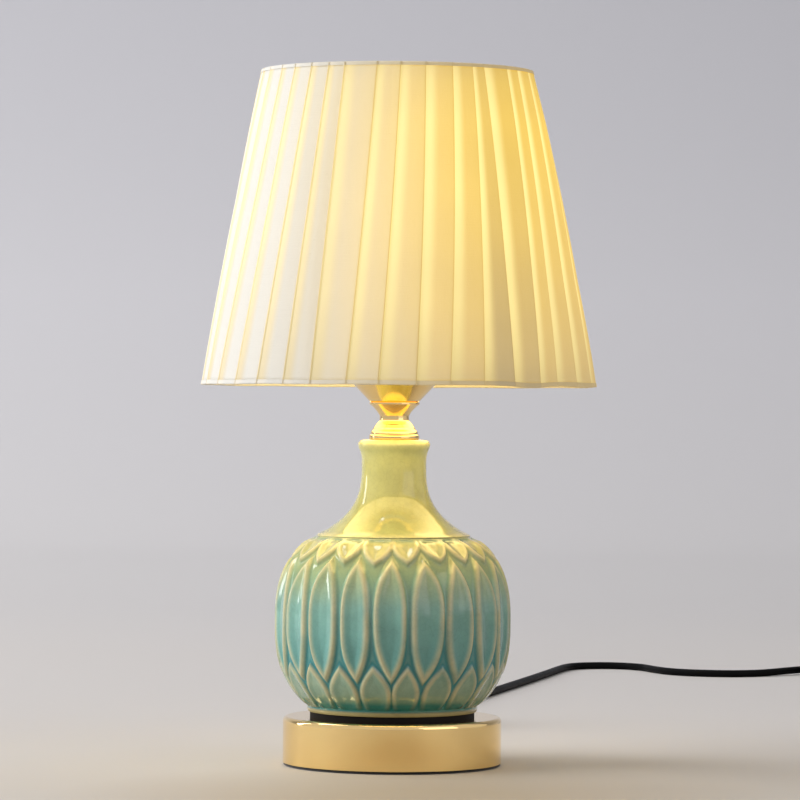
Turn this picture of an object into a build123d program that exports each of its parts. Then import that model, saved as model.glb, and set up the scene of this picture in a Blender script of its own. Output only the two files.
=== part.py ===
from build123d import *

import math
import os

# Ceramic table lamp: a gold base, a petalled vase, a gold neck and a pleated shade.
# Millimetres, +Z up, origin at the centre of the foot pad's underside, front towards -Y.

# Clearances
FIT = 0.1
LOOSE = 0.3
PIN_FIT = 0.05

# Base
BASE_D = 123.0
BASE_H = 25.7
BASE_WALL = 1.2
BASE_EDGE = 2.5
PAD_T = 1.6
PAD_INSET = 0.5
PLATE_T = 1.0
WEIGHT_H = 11.0
WEIGHT_WEB = 3.0
WEIGHT_POCKET_D = 32.0
GASKET_D = 92.6
GASKET_BORE = 60.0
GASKET_T = 3.1

# Threaded rod and its fastening
ROD_D = 10.0
ROD_BORE = 7.0
ROD_TAIL = 0.6
ROD_ENGAGE = 7.0
WASHER_D = 22.0
WASHER_T = 1.2
NUT_ACROSS = 17.0
NUT_T = 5.0

# Ceramic vase: heights are above its own foot
VASE_H = 152.7
VASE_WALL = 5.0
VASE_FLOOR = 6.0
VASE_HOLE = 13.0
FOOT_D = 95.2
FOOT_H = 3.6
FOOT_FLARE = 0.6
BELLY_D = 132.2
BELLY_Z = 51.0
SHOULDER_D = 85.6
SHOULDER_Z = 98.4
SHOULDER_LIP = 1.2
NECK_D = 36.0
NECK_DROP = 14.2
RIM_D = 40.6
RIM_BEAD = 3.7
RIM_ROUND = 3.2
RIM_BULGE = 0.8
RELIEF = 1.3
BELLY_BLUNT = 2.6
FOOT_ROUND = 1.2
SHOULDER_ROUND = 1.35
NECK_SWEEP = 3
FOOT_STATIONS = (0.12, 0.26, 0.42, 0.66, 1.0)
BELLY_STATIONS = (0.3, 0.55, 0.75, 0.9)
NECK_STATIONS = (0.1, 0.25, 0.45, 0.7, 1.0)
HOLLOW_STATIONS = (0.25, 0.5, 0.75)
THROAT_STATIONS = (0.3, 0.6, 1.0)

# Petals round the vase
PETALS = 20
PETAL_PHASE = -0.95
PETAL_FULLNESS = 0.43
TALL_PETAL_W = 18.6
TALL_PETAL_LOW = 20.4
TALL_PETAL_TOP = 86.4
SHORT_PETAL_W = 15.0
SHORT_PETAL_ROOT = 6.2
SHORT_PETAL_TIP = 27.6
COLLAR_PETAL_W = 14.4
COLLAR_PETAL_TIP = 83.2
COLLAR_PETAL_ROOT = 96.4

# Gold neck
BELL_D = 28.2
BELL_BAND = 4.0
BELL_H = 12.4
BELL_HOLLOW = 0.3
WAIST_D = 16.6
WAIST_BAND = 1.0
CUP_D = 28.4
CUP_H = 8.5
CUP_RIM = 1.0
CUP_HOLLOW = 0.4
CUP_HOLLOW_RISE = 0.3
DISH_SEAT_D = 26.4
DISH_STEP = 0.8
DISH_D = 60.0
DISH_HALF_ANGLE = 43.7
DISH_T = 1.0

# Lampholder
HOLDER_D = 39.2
HOLDER_WALL = 3.1
HOLDER_BOSS_D = 19.0
HOLDER_BOSS_H = 2.5
HOLDER_CAP_H = 19.5
HOLDER_CAP_FLOOR = 8.0
HOLDER_LEDGE = 4.0
HOLDER_H = 38.0
SEAT_UP = 10.5
SEAT_D = 47.0
SEAT_T = 2.0
INSERT_H = 8.5
SCREW_SHELL_BORE = 27.4
SCREW_SHELL_WALL = 0.4
SCREW_SHELL_H = 24.0
CONTACT_D = 8.0
CONTACT_H = 3.2
TERMINAL_D = 5.0
TERMINAL_H = 3.0
TERMINAL_X = 8.0
SCREW_SLOT = 1.0
LOCK_RING_D = 56.0
LOCK_RING_H = 7.0
LOCK_RING_LIP = 2.0

# Bulb
BULB_D = 60.0
BULB_GLASS_T = 1.0
BULB_TIP_D = 9.4
BULB_TIP_H = 1.8
BULB_INSULATOR_D = 22.6
BULB_INSULATOR_H = 3.7
BULB_CAP_D = 26.2
BULB_CAP_H = 20.0
BULB_CAP_T = 0.5
BULB_CAP_EDGE = 1.0
THREAD_DEPTH = 0.8
THREAD_PITCH = 3.6
THREAD_TURNS = 4
BULB_HOUSING_D = 49.0
BULB_HOUSING_H = 25.5
BULB_HOUSING_T = 1.3
BULB_GLOBE_RISE = 57.0
BULB_GLOBE_SWELL = 0.28
LIGHT_BOARD_T = 1.6
DRIVER_W = 16.0
DRIVER_T = 1.6
DRIVER_H = 30.0

# Shade
SHADE_D = 220.0
SHADE_TOP_D = 153.0
SHADE_H = 176.3
FITTER_DROP = 23.6
PLEATS = 36
PLEAT_DEPTH = 1.6
PLEAT_FOLD = 0.08
PLEAT_FLATS = 2
CLOTH_T = 0.5
LINER_T = 0.4
RING_WIRE = 2.6
FITTER_BORE = 42.0
FITTER_D = 52.0
FITTER_T = 1.5
ARM_WIRE = 3.0
ARMS = 3
ARM_PHASE = 90.0
TRIM_T = 0.4
TRIM_H = 7.0

# Cord and what it leaves the base through
CORD_D = 5.2
EXIT_Z = 9.0
RELIEF_L = 24.0
RELIEF_D = 11.0
RELIEF_TIP_D = 7.4
RELIEF_NECK_D = 9.0
RELIEF_FLANGE_D = 12.4
RELIEF_FLANGE_T = 2.0
LEAD_IN = 25.5
CLAMP_W = 14.0
CLAMP_L = 8.0
CLAMP_ROOF = 2.0
CORE_D = 2.0
CORE_X = 1.4
CORE_BEND = 7.0

# In-line switch, lying along Y
SWITCH_X = 20.0
SWITCH_Y = 265.0
SWITCH_L = 66.0
SWITCH_W = 28.0
SWITCH_SPLIT = 9.5
SWITCH_H = 19.0
SWITCH_WALL = 2.0
SWITCH_CORNER = 7.0
SWITCH_EDGE = 1.6
SWITCH_CORD_Z = 5.0
SWITCH_LEAD = 17.0
SWITCH_POCKET = 42.0
SCREW_D = 2.8
SCREW_HEAD_D = 5.2
SCREW_HEAD_H = 2.0
SCREW_TOP = 14.0
SCREW_X = 9.0
SCREW_Y = 26.0
ROCKER_L = 22.0
ROCKER_W = 12.0
ROCKER_GAP = 1.5
ROCKER_PIVOT_Z = 12.5
ROCKER_TOP = 5.0
ROCKER_END_TOP = 6.8
ROCKER_BELOW = 4.6
ROCKER_FOOT = 12.0
ROCKER_TILT = 8.0
PIN_D = 2.0
EAR_W = 2.0
EAR_L = 8.0
BLADE_W = 5.0
BLADE_L = 16.0
BLADE_T = 1.2
BLADE_X = 6.0

# Put-away coil of the spare cord
COIL_X = 338.5
COIL_Y = 730.0
COIL_DIAMETERS = 11.0
COIL_TURNS = 4.375
COIL_STEPS = 18
COIL_GAP = 0.6
COIL_START = 135.0
COIL_NUDGE = 0.02
TIE_T = 0.8
TIE_W = 8.0

# Plug
PLUG_ASIDE = 35.9
PLUG_AHEAD = 47.0
PLUG_W = 35.0
PLUG_H = 13.7
PLUG_L = 30.0
PLUG_NECK_W = 14.0
PLUG_NECK_H = 11.0
PLUG_CORNER = 4.0
PLUG_TAIL_L = 22.0
PLUG_TAIL_D = 10.4
PLUG_TIP_D = 7.4
PIN_LENGTH = 19.0
PIN_SPACING = 18.6
PLUG_PIN_D = 4.0
PIN_ROOT = 6.0
PIN_ROOT_D = 5.2

# Routes of the free cord, chosen along the line that it lies on
CORD_Z = CORD_D / 2
CORNER_SHARE = 0.45
LAMP_ROUTE = [
    (0.0, 101.5, EXIT_Z),
    (1.8, 121.0, 3.6),
    (7.0, 147.0, CORD_Z),
    (13.6, 173.0, CORD_Z),
    (SWITCH_X - 1.4, SWITCH_Y - 69.0, 3.0),
    (SWITCH_X, SWITCH_Y - SWITCH_L / 2 - SWITCH_LEAD, SWITCH_CORD_Z),
]
FLOOR_ROUTE = [
    (SWITCH_X, SWITCH_Y + SWITCH_L / 2 + SWITCH_LEAD, SWITCH_CORD_Z),
    (SWITCH_X + 2.6, SWITCH_Y + 71.0, 3.0),
    (SWITCH_X + 10.0, SWITCH_Y + 103.0, CORD_Z),
    (43.0, 408.0, CORD_Z),
    (54.5, 461.0, CORD_Z),
    (66.5, 511.0, CORD_Z),
    (79.0, 561.0, CORD_Z),
    (91.8, 612.0, CORD_Z),
    (104.6, 665.0, CORD_Z),
    (114.6, 708.0, CORD_Z),
    (121.6, 739.0, CORD_Z),
    (129.0, 766.0, CORD_Z),
    (141.0, 778.8, CORD_Z),
    (157.0, 783.2, CORD_Z),
    (172.6, 778.9, CORD_Z),
    (185.5, 765.5, CORD_Z),
    (191.5, 746.5, CORD_Z),
    (200.5, 725.5, CORD_Z),
    (COIL_X - 124.5, COIL_Y - 17.0, CORD_Z),
    (COIL_X - 105.5, COIL_Y - 24.0, CORD_Z),
    (COIL_X - 84.5, COIL_Y - 23.5, CORD_Z),
    (COIL_X - 66.5, COIL_Y - 13.0, CORD_Z),
]
COIL_APPROACH = 24.0
TAIL_RUN = 12.0

# Heights and radii that follow from the sizes above
BASE_R = BASE_D / 2
BASE_TOP = PAD_T + BASE_H
LEAD_END_Y = BASE_R - LEAD_IN
VASE_Z = BASE_TOP + GASKET_T
VASE_TOP = VASE_Z + VASE_H
RIM_Z = VASE_H - RIM_BEAD
NECK_Z = VASE_H - NECK_DROP
BELL_TOP = VASE_TOP + BELL_H
DISH_Z = BELL_TOP + CUP_H
HOLDER_Z = DISH_Z + DISH_T
HOLDER_SPLIT = HOLDER_Z + HOLDER_CAP_H
HOLDER_TOP = HOLDER_SPLIT + HOLDER_H
SEAT_TOP = HOLDER_SPLIT + SEAT_UP + SEAT_T
INSERT_TOP = HOLDER_SPLIT + INSERT_H
ROD_HOLE = ROD_D / 2 + LOOSE
BULB_Z = INSERT_TOP + CONTACT_H + LOOSE
BULB_CAP_Z = BULB_Z + BULB_TIP_H + BULB_INSULATOR_H
BULB_HOUSING_Z = BULB_CAP_Z + BULB_CAP_H
BULB_GLOBE_Z = BULB_HOUSING_Z + BULB_HOUSING_H
FITTER_Z = SEAT_TOP + LOOSE
SHADE_Z = FITTER_Z - FITTER_DROP
SHADE_TOP = SHADE_Z + SHADE_H
WEIGHT_Z = BASE_TOP - BASE_WALL - WEIGHT_H
WASHER_Z = BASE_TOP - BASE_WALL - WEIGHT_WEB - WASHER_T
NUT_Z = WASHER_Z - NUT_T
ROD_Z = NUT_Z - ROD_TAIL
PLUG_X = COIL_X + PLUG_ASIDE
PLUG_Y = COIL_Y - PLUG_AHEAD
COIL_LOW = CORD_Z + TIE_T + FIT
COIL_PITCH = CORD_D + COIL_GAP
COIL_MEAN = COIL_DIAMETERS * CORD_D / 2
COIL_INNER = COIL_MEAN - COIL_PITCH * COIL_TURNS / 4
COIL_OUTER = COIL_INNER + COIL_PITCH * COIL_TURNS / 2


def turned(outline):
    """A solid of revolution about Z from a closed outline of (radius, height) points."""
    return revolve(Plane.XZ * make_face(Polyline(*outline, close=True)), Axis.Z)


def turned_face(lines):
    """A solid of revolution about Z from lines and curves drawn as (radius, height)."""
    return revolve(Plane.XZ * make_face(lines), Axis.Z)


def ring(bore, diameter, low, high):
    """A flat ring about Z."""
    points = [(bore / 2, low), (diameter / 2, low), (diameter / 2, high), (bore / 2, high)]
    return turned(points)


def disc(diameter, low, high):
    """A flat disc about Z."""
    body = Cylinder(diameter / 2, high - low, align=(Align.CENTER, Align.CENTER, Align.MIN))
    return Pos(0, 0, low) * body


def along_y(shape, x, y, z):
    """Turns a solid about Z so that it points along +Y, with its origin at x, y, z."""
    return Pos(x, y, z) * Rot(-90, 0, 0) * shape


def slab(width, length, low, high, corner):
    """A plate about the origin with rounded upright edges."""
    return extrude(Pos(0, 0, low) * RectangleRounded(width, length, corner), amount=high - low)


def block(x, y, low, width, length, height):
    """A box centred on x, y that stands on the height low."""
    return Pos(x, y, low) * Box(width, length, height, align=(Align.CENTER, Align.CENTER, Align.MIN))


def around(count, phase, shape):
    """Copies of a shape spaced evenly about Z."""
    return [Rot(0, 0, phase + 360 * i / count) * shape for i in range(count)]


# Base


def foot_pad():
    return disc(BASE_D - 2 * PAD_INSET, 0, PAD_T)


def base_plate():
    return disc(BASE_D - 2 * BASE_WALL - 2 * FIT, PAD_T, PAD_T + PLATE_T)


def base_shell():
    inner = BASE_R - BASE_WALL
    roof = BASE_TOP - BASE_WALL
    side = Polyline(
        (BASE_R - BASE_EDGE, BASE_TOP), (ROD_HOLE, BASE_TOP), (ROD_HOLE, roof), (inner, roof),
        (inner, PAD_T), (BASE_R, PAD_T), (BASE_R, BASE_TOP - BASE_EDGE),
    )
    edge = RadiusArc((BASE_R, BASE_TOP - BASE_EDGE), (BASE_R - BASE_EDGE, BASE_TOP), -BASE_EDGE)
    shell = turned_face(side + edge)
    cord_hole = along_y(disc(RELIEF_NECK_D + 2 * FIT, -BASE_EDGE - BASE_WALL, BASE_EDGE), 0, BASE_R, EXIT_Z)
    return shell - cord_hole


def base_weight():
    outer = BASE_D - 2 * BASE_WALL - 2 * LOOSE
    top = BASE_TOP - BASE_WALL
    weight = ring(2 * ROD_HOLE, outer, WEIGHT_Z, top)
    slot_top = EXIT_Z + RELIEF_FLANGE_D / 2 + LOOSE
    cord_slot = block(0, BASE_R / 2, PAD_T, CLAMP_W + 2 * LOOSE, BASE_R, slot_top - PAD_T)
    return weight - disc(WEIGHT_POCKET_D, WEIGHT_Z, top - WEIGHT_WEB) - cord_slot


def base_washer():
    return ring(2 * ROD_HOLE, WASHER_D, WASHER_Z, WASHER_Z + WASHER_T)


def base_nut():
    nut = extrude(Pos(0, 0, NUT_Z) * RegularPolygon(NUT_ACROSS / 2, 6, major_radius=False), amount=NUT_T)
    return nut - disc(ROD_D + 2 * FIT, NUT_Z, NUT_Z + NUT_T)


def body_gasket():
    return ring(GASKET_BORE, GASKET_D, BASE_TOP, VASE_Z)


def threaded_rod():
    return ring(ROD_BORE, ROD_D, ROD_Z, HOLDER_Z + ROD_ENGAGE)


# Ceramic vase


def belly_radius(height):
    """Radius of the belly, a blunt curve up from the foot and a rounder one in to the shoulder."""
    foot, belly, shoulder = FOOT_D / 2 + FOOT_FLARE, BELLY_D / 2, SHOULDER_D / 2
    if height < BELLY_Z:
        left = (BELLY_Z - height) / (BELLY_Z - FOOT_H)
        return foot + (belly - foot) * (1 - left**BELLY_BLUNT) ** (1 / FOOT_ROUND)
    up = (height - BELLY_Z) / (SHOULDER_Z - BELLY_Z)
    return shoulder + (belly - shoulder) * (1 - up**BELLY_BLUNT) ** (1 / SHOULDER_ROUND)


def neck_radius(height):
    """Radius of the smooth neck, a flare that settles into the narrowest point and opens to the rim."""
    neck, rim, shoulder = NECK_D / 2, RIM_D / 2, SHOULDER_D / 2
    if height < NECK_Z:
        left = (NECK_Z - height) / (NECK_Z - SHOULDER_Z - SHOULDER_LIP)
        return neck + (shoulder - neck) * left**NECK_SWEEP
    return neck + (rim - neck) * ((height - NECK_Z) / (RIM_Z - NECK_Z)) ** 2


def stations(low, high, shares):
    return [low + (high - low) * share for share in shares]


def vase_outline(sink):
    """The vase's outside, with the petalled belly sunk by the given depth."""
    belly_heights = stations(FOOT_H, BELLY_Z, FOOT_STATIONS)
    belly_heights += stations(BELLY_Z, SHOULDER_Z, BELLY_STATIONS)
    neck_low = SHOULDER_Z + SHOULDER_LIP
    neck_heights = stations(neck_low, NECK_Z, NECK_STATIONS) + [(NECK_Z + RIM_Z) / 2]
    foot = (FOOT_D / 2 + FOOT_FLARE, FOOT_H)
    shoulder = (SHOULDER_D / 2, SHOULDER_Z)
    lip = (SHOULDER_D / 2, neck_low)
    rim = (RIM_D / 2, RIM_Z)
    crown = (RIM_D / 2 - RIM_ROUND, VASE_H)
    belly = Spline(foot, *[(belly_radius(z) - sink, z) for z in belly_heights], shoulder)
    neck = Spline(lip, *[(neck_radius(z), z) for z in neck_heights], rim)
    return (
        Line((FOOT_D / 2, 0), foot) + belly + Line(shoulder, lip) + neck
        + ThreePointArc(rim, (RIM_D / 2 - RIM_BULGE, (RIM_Z + 2 * VASE_H) / 3), crown)
        + Polyline(crown, (0, VASE_H), (0, 0), (FOOT_D / 2, 0))
    )


def vase_cavity():
    """The hollow inside, which follows the outside at the wall's thickness."""
    low, high = VASE_FLOOR, VASE_H - VASE_FLOOR
    foot_r = FOOT_D / 2 - VASE_WALL
    belly_heights = stations(VASE_FLOOR, SHOULDER_Z, HOLLOW_STATIONS)
    neck_heights = stations(SHOULDER_Z, NECK_Z, THROAT_STATIONS)
    points = [(foot_r, low)]
    points += [(belly_radius(z) - VASE_WALL - RELIEF, z) for z in belly_heights]
    points += [(neck_radius(z) - VASE_WALL, z) for z in neck_heights]
    points += [(NECK_D / 2 - VASE_WALL, high)]
    return Spline(*points) + Polyline(points[-1], (0, high), (0, low), points[0])


def tall_petal():
    """A lens, pointed at both ends."""
    low, high = TALL_PETAL_LOW, TALL_PETAL_TOP
    side, middle = TALL_PETAL_W / 2, (low + high) / 2
    right = ThreePointArc((0, low), (side, middle), (0, high))
    left = ThreePointArc((0, high), (-side, middle), (0, low))
    return right + left


def pointed_petal(width, root, tip):
    """A leaf with a straight root and a pointed tip."""
    belly, side = (root + tip) / 2, PETAL_FULLNESS * width
    right = ThreePointArc((width / 2, root), (side, belly), (0, tip))
    left = ThreePointArc((0, tip), (-side, belly), (-width / 2, root))
    return Line((-width / 2, root), (width / 2, root)) + right + left


def petal_ring(outline, phase, full, deep):
    """One ring of petals, each a skin of the full body cut out by a prism that points outwards."""
    prism = extrude(Plane.XZ * make_face(outline), amount=BELLY_D)
    return around(PETALS, phase, (full & prism) - deep)


def ceramic_body():
    sunk = turned_face(vase_outline(RELIEF))
    full = turned_face(vase_outline(0))
    deep = turned_face(vase_outline(2 * RELIEF))
    half_step = 180 / PETALS
    short = pointed_petal(SHORT_PETAL_W, SHORT_PETAL_ROOT, SHORT_PETAL_TIP)
    collar = pointed_petal(COLLAR_PETAL_W, COLLAR_PETAL_ROOT, COLLAR_PETAL_TIP)
    petals = petal_ring(tall_petal(), PETAL_PHASE, full, deep)
    petals += petal_ring(short, PETAL_PHASE + half_step, full, deep)
    petals += petal_ring(collar, PETAL_PHASE + half_step, full, deep)
    vase = sunk.fuse(*petals) - turned_face(vase_cavity()) - disc(VASE_HOLE, 0, VASE_H)
    return Pos(0, 0, VASE_Z) * vase


# Gold neck


def neck_bell():
    band, waist = BELL_D / 2, WAIST_D / 2
    arc_top = BELL_H - WAIST_BAND
    middle = ((band + waist) / 2 - BELL_HOLLOW, (BELL_BAND + arc_top) / 2)
    lines = Polyline(
        (waist, arc_top), (waist, BELL_H), (ROD_HOLE, BELL_H), (ROD_HOLE, 0), (band, 0), (band, BELL_BAND),
    )
    lines += ThreePointArc((band, BELL_BAND), middle, (waist, arc_top))
    return Pos(0, 0, VASE_TOP) * turned_face(lines)


def neck_cup():
    rim, waist = CUP_D / 2, WAIST_D / 2
    arc_top = CUP_H - CUP_RIM
    middle = ((rim + waist) / 2 - CUP_HOLLOW, (WAIST_BAND + arc_top) / 2 + CUP_HOLLOW_RISE)
    lines = Polyline(
        (rim, arc_top), (rim, CUP_H), (ROD_HOLE, CUP_H), (ROD_HOLE, 0), (waist, 0), (waist, WAIST_BAND),
    )
    lines += ThreePointArc((waist, WAIST_BAND), middle, (rim, arc_top))
    return Pos(0, 0, BELL_TOP) * turned_face(lines)


def socket_dish():
    slope = math.tan(math.radians(DISH_HALF_ANGLE))
    seat, rim = DISH_SEAT_D / 2, DISH_D / 2
    start = CUP_D / 2 + FIT
    height = DISH_STEP + (rim - start) / slope
    lift = DISH_T / math.sin(math.radians(DISH_HALF_ANGLE))
    inner_rim = rim - lift * slope
    inner_floor = start + (DISH_T - DISH_STEP - lift) * slope
    outline = [
        (ROD_HOLE, 0), (seat, 0), (start, DISH_STEP), (rim, height),
        (inner_rim, height), (inner_floor, DISH_T), (ROD_HOLE, DISH_T),
    ]
    return Pos(0, 0, DISH_Z) * turned(outline)


# Lampholder


def lampholder_cap():
    outer, boss = HOLDER_D / 2, HOLDER_BOSS_D / 2
    inner = outer - HOLDER_WALL
    ledge = inner - HOLDER_LEDGE / 2
    cone_top = HOLDER_BOSS_H + outer - boss
    room_top = HOLDER_CAP_H - HOLDER_LEDGE
    bore = ROD_D / 2 + FIT
    outline = [
        (bore, 0), (boss, 0), (boss, HOLDER_BOSS_H), (outer, cone_top), (outer, HOLDER_CAP_H),
        (ledge, HOLDER_CAP_H), (ledge, room_top), (ledge - HOLDER_WALL, HOLDER_CAP_FLOOR),
        (bore, HOLDER_CAP_FLOOR),
    ]
    return Pos(0, 0, HOLDER_Z) * turned(outline)


def lampholder_shell():
    shell = ring(HOLDER_D - 2 * HOLDER_WALL, HOLDER_D, HOLDER_SPLIT, HOLDER_TOP)
    return shell + ring(HOLDER_D - HOLDER_WALL, SEAT_D, SEAT_TOP - SEAT_T, SEAT_TOP)


def lampholder_insert():
    insert = disc(HOLDER_D - 2 * HOLDER_WALL - 2 * LOOSE, HOLDER_SPLIT, INSERT_TOP)
    holes = [Pos(side * TERMINAL_X, 0, 0) * disc(CORE_D + 2 * FIT, HOLDER_SPLIT, HOLDER_SPLIT + TERMINAL_H)
             for side in (-1, 1)]
    return insert - holes


def screw_shell():
    outer = SCREW_SHELL_BORE + 2 * SCREW_SHELL_WALL
    return ring(SCREW_SHELL_BORE, outer, INSERT_TOP, INSERT_TOP + SCREW_SHELL_H)


def centre_contact():
    half, top = CONTACT_D / 2, INSERT_TOP + CONTACT_H
    return turned([(0, INSERT_TOP), (half, INSERT_TOP), (half / 2, top), (0, top)])


def terminal_screws():
    low = HOLDER_SPLIT - TERMINAL_H
    screw = disc(TERMINAL_D, low, HOLDER_SPLIT) - block(0, 0, low, TERMINAL_D, SCREW_SLOT, SCREW_SLOT)
    return Compound([Pos(0, side * TERMINAL_X, 0) * screw for side in (-1, 1)])


def lock_ring():
    low = FITTER_Z + FITTER_T + LOOSE
    bore = HOLDER_D + 2 * LOOSE
    body = ring(bore, bore + 4 * LOCK_RING_LIP, low, low + LOCK_RING_H)
    return body + ring(bore, LOCK_RING_D, low, low + LOCK_RING_LIP)


# Bulb


def bulb_tip():
    half = BULB_TIP_D / 2
    top = BULB_Z + BULB_TIP_H
    return turned([(0, BULB_Z), (half / 2, BULB_Z), (half, top), (0, top)])


def bulb_insulator():
    low = BULB_Z + BULB_TIP_H
    return turned([(0, low), (BULB_TIP_D / 2, low), (BULB_INSULATOR_D / 2, BULB_CAP_Z), (0, BULB_CAP_Z)])


def bulb_cap():
    """The screw cap, with its thread drawn as rounded ridges."""
    crest, root = BULB_CAP_D / 2, BULB_CAP_D / 2 - THREAD_DEPTH
    start = BULB_CAP_Z + BULB_CAP_EDGE
    edge = BULB_INSULATOR_D / 2
    lines = Polyline((edge - BULB_CAP_T, BULB_CAP_Z), (edge, BULB_CAP_Z), (root, start))
    for i in range(THREAD_TURNS):
        low = start + i * THREAD_PITCH
        lines += ThreePointArc((root, low), (crest, low + THREAD_PITCH / 2), (root, low + THREAD_PITCH))
    top = start + THREAD_TURNS * THREAD_PITCH
    inner = root - BULB_CAP_T
    lines += Polyline(
        (root, top), (root, BULB_HOUSING_Z), (inner, BULB_HOUSING_Z), (inner, start),
        (edge - BULB_CAP_T, BULB_CAP_Z),
    )
    return turned_face(lines)


def bulb_housing():
    low, high = BULB_CAP_D / 2 + LOOSE, BULB_HOUSING_D / 2
    top = BULB_GLOBE_Z
    outline = [
        (low - BULB_HOUSING_T, BULB_HOUSING_Z), (low, BULB_HOUSING_Z), (high, top),
        (high - BULB_HOUSING_T, top),
        (low - BULB_HOUSING_T, BULB_HOUSING_Z + BULB_HOUSING_T),
    ]
    return turned(outline)


def light_board():
    low = BULB_GLOBE_Z - LIGHT_BOARD_T
    neck = BULB_CAP_D / 2 + LOOSE
    slope = (BULB_HOUSING_D / 2 - neck) / BULB_HOUSING_H
    radius = BULB_HOUSING_D / 2 - BULB_HOUSING_T - slope * LIGHT_BOARD_T - LOOSE
    return disc(2 * radius, low, BULB_GLOBE_Z)


def driver_board():
    return block(0, 0, BULB_GLOBE_Z - LIGHT_BOARD_T - DRIVER_H, DRIVER_W, DRIVER_T, DRIVER_H)


def bulb_globe():
    """A hollow globe that opens from the housing and closes in a round top."""
    return globe_solid(0) - globe_solid(BULB_GLASS_T)


def globe_solid(inset):
    neck, belly = BULB_HOUSING_D / 2 - inset, BULB_D / 2 - inset
    centre = BULB_GLOBE_Z + BULB_GLOBE_RISE - BULB_D / 2
    start = (neck, BULB_GLOBE_Z)
    side = (belly - BULB_GLOBE_SWELL * (belly - neck), (BULB_GLOBE_Z + centre) / 2)
    swell = ThreePointArc(start, side, (belly, centre))
    half = math.sqrt(0.5) * belly
    crown = ThreePointArc((belly, centre), (half, centre + half), (0, centre + belly))
    return turned_face(swell + crown + Polyline((0, centre + belly), (0, BULB_GLOBE_Z), start))


# Shade


def shade_radius(height, inset):
    share = (height - SHADE_Z) / SHADE_H
    return (SHADE_D + (SHADE_TOP_D - SHADE_D) * share) / 2 - inset


def cone_shell(outer_inset, inner_inset, low, high):
    outline = [
        (shade_radius(low, inner_inset), low), (shade_radius(low, outer_inset), low),
        (shade_radius(high, outer_inset), high), (shade_radius(high, inner_inset), high),
    ]
    return turned(outline)


CLOTH_INSET = PLEAT_DEPTH + CLOTH_T
LINER_INSET = CLOTH_INSET + FIT
RING_INSET = LINER_INSET + LINER_T + FIT + RING_WIRE / 2
LOW_RING_Z = SHADE_Z + TRIM_T + FIT + RING_WIRE / 2
TOP_RING_Z = SHADE_TOP - TRIM_T - FIT - RING_WIRE / 2


def pleat_outline(height):
    """The zigzag round the cloth at one height: each pleat rises to its fold and drops behind it."""
    step = 360 / PLEATS
    fold = shade_radius(height, 0)
    valley = fold * (1 - PLEAT_DEPTH / (SHADE_D / 2))
    points = []
    for i in range(PLEATS):
        for turn, radius in ((i, valley), (i + 1 - PLEAT_FOLD, fold)):
            angle = math.radians(turn * step)
            points.append((radius * math.cos(angle), radius * math.sin(angle)))
    return Pos(0, 0, height) * make_face(Polyline(*points, close=True))


def cloth_back(height):
    """The many-sided back of the cloth at one height, with its flats round the liner."""
    flats = PLEAT_FLATS * PLEATS
    inside = shade_radius(height, CLOTH_INSET)
    return Pos(0, 0, height) * RegularPolygon(inside, flats, major_radius=False, rotation=180 / flats)


def shade_pleats():
    body = loft([pleat_outline(SHADE_Z), pleat_outline(SHADE_TOP)], ruled=True)
    return body - loft([cloth_back(SHADE_Z), cloth_back(SHADE_TOP)], ruled=True)


def shade_liner():
    return cone_shell(LINER_INSET, LINER_INSET + LINER_T, SHADE_Z + TRIM_T + FIT, SHADE_TOP - TRIM_T - FIT)


def wire_ring(height):
    return Pos(0, 0, height) * Torus(shade_radius(height, RING_INSET), RING_WIRE / 2)


def shade_top_ring():
    return wire_ring(TOP_RING_Z)


def shade_arm(diameter):
    """One arm from under the fitter ring out to the bottom ring, along +X."""
    start = Vector(SEAT_D / 2 + 3 * LOOSE, 0, FITTER_Z)
    end = Vector(shade_radius(LOW_RING_Z, RING_INSET), 0, LOW_RING_Z)
    return extrude(Plane(start, z_dir=end - start) * Circle(diameter / 2), amount=(end - start).length)


def shade_frame():
    fitter = ring(FITTER_BORE, FITTER_D, FITTER_Z, FITTER_Z + FITTER_T)
    arms = around(ARMS, ARM_PHASE, shade_arm(ARM_WIRE))
    above = disc(FITTER_D + LOCK_RING_D, FITTER_Z + FITTER_T, HOLDER_TOP)
    seat = disc(SEAT_D + 2 * LOOSE, SHADE_Z, FITTER_Z)
    return wire_ring(LOW_RING_Z).fuse(fitter, *arms) - above - seat


def trim_channel(low, high, sill):
    """A cloth channel round a wire ring: a sill across the end and a skirt inside the ring."""
    inner = RING_INSET + RING_WIRE / 2 + FIT
    skirt = cone_shell(inner, inner + TRIM_T, low, high)
    return skirt + cone_shell(LINER_INSET, inner + TRIM_T, sill, sill + TRIM_T)


def hem_trim():
    notches = around(ARMS, ARM_PHASE, shade_arm(ARM_WIRE + 2 * LOOSE))
    return trim_channel(SHADE_Z, SHADE_Z + TRIM_H, SHADE_Z) - notches


def top_trim():
    return trim_channel(SHADE_TOP - TRIM_H, SHADE_TOP, SHADE_TOP - TRIM_T)


# Cord inside the base and the rod


def strain_relief():
    """A bush in the base's wall with a flange inside and a tapered boot outside."""
    inner_wall = BASE_R - BASE_WALL
    flange = RELIEF_FLANGE_D / 2
    back = math.sqrt(inner_wall**2 - flange**2) - BASE_R - FIT
    bore = CORD_D / 2 + FIT
    outline = [
        (bore, back - RELIEF_FLANGE_T), (flange, back - RELIEF_FLANGE_T), (flange, back),
        (RELIEF_NECK_D / 2, back), (RELIEF_NECK_D / 2, FIT), (RELIEF_D / 2, FIT),
        (RELIEF_TIP_D / 2, RELIEF_L), (bore, RELIEF_L),
    ]
    return along_y(turned(outline), 0, BASE_R, EXIT_Z)


def inner_lead():
    return along_y(disc(CORD_D, LEAD_END_Y - BASE_R, RELIEF_L), 0, BASE_R, EXIT_Z)


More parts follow.
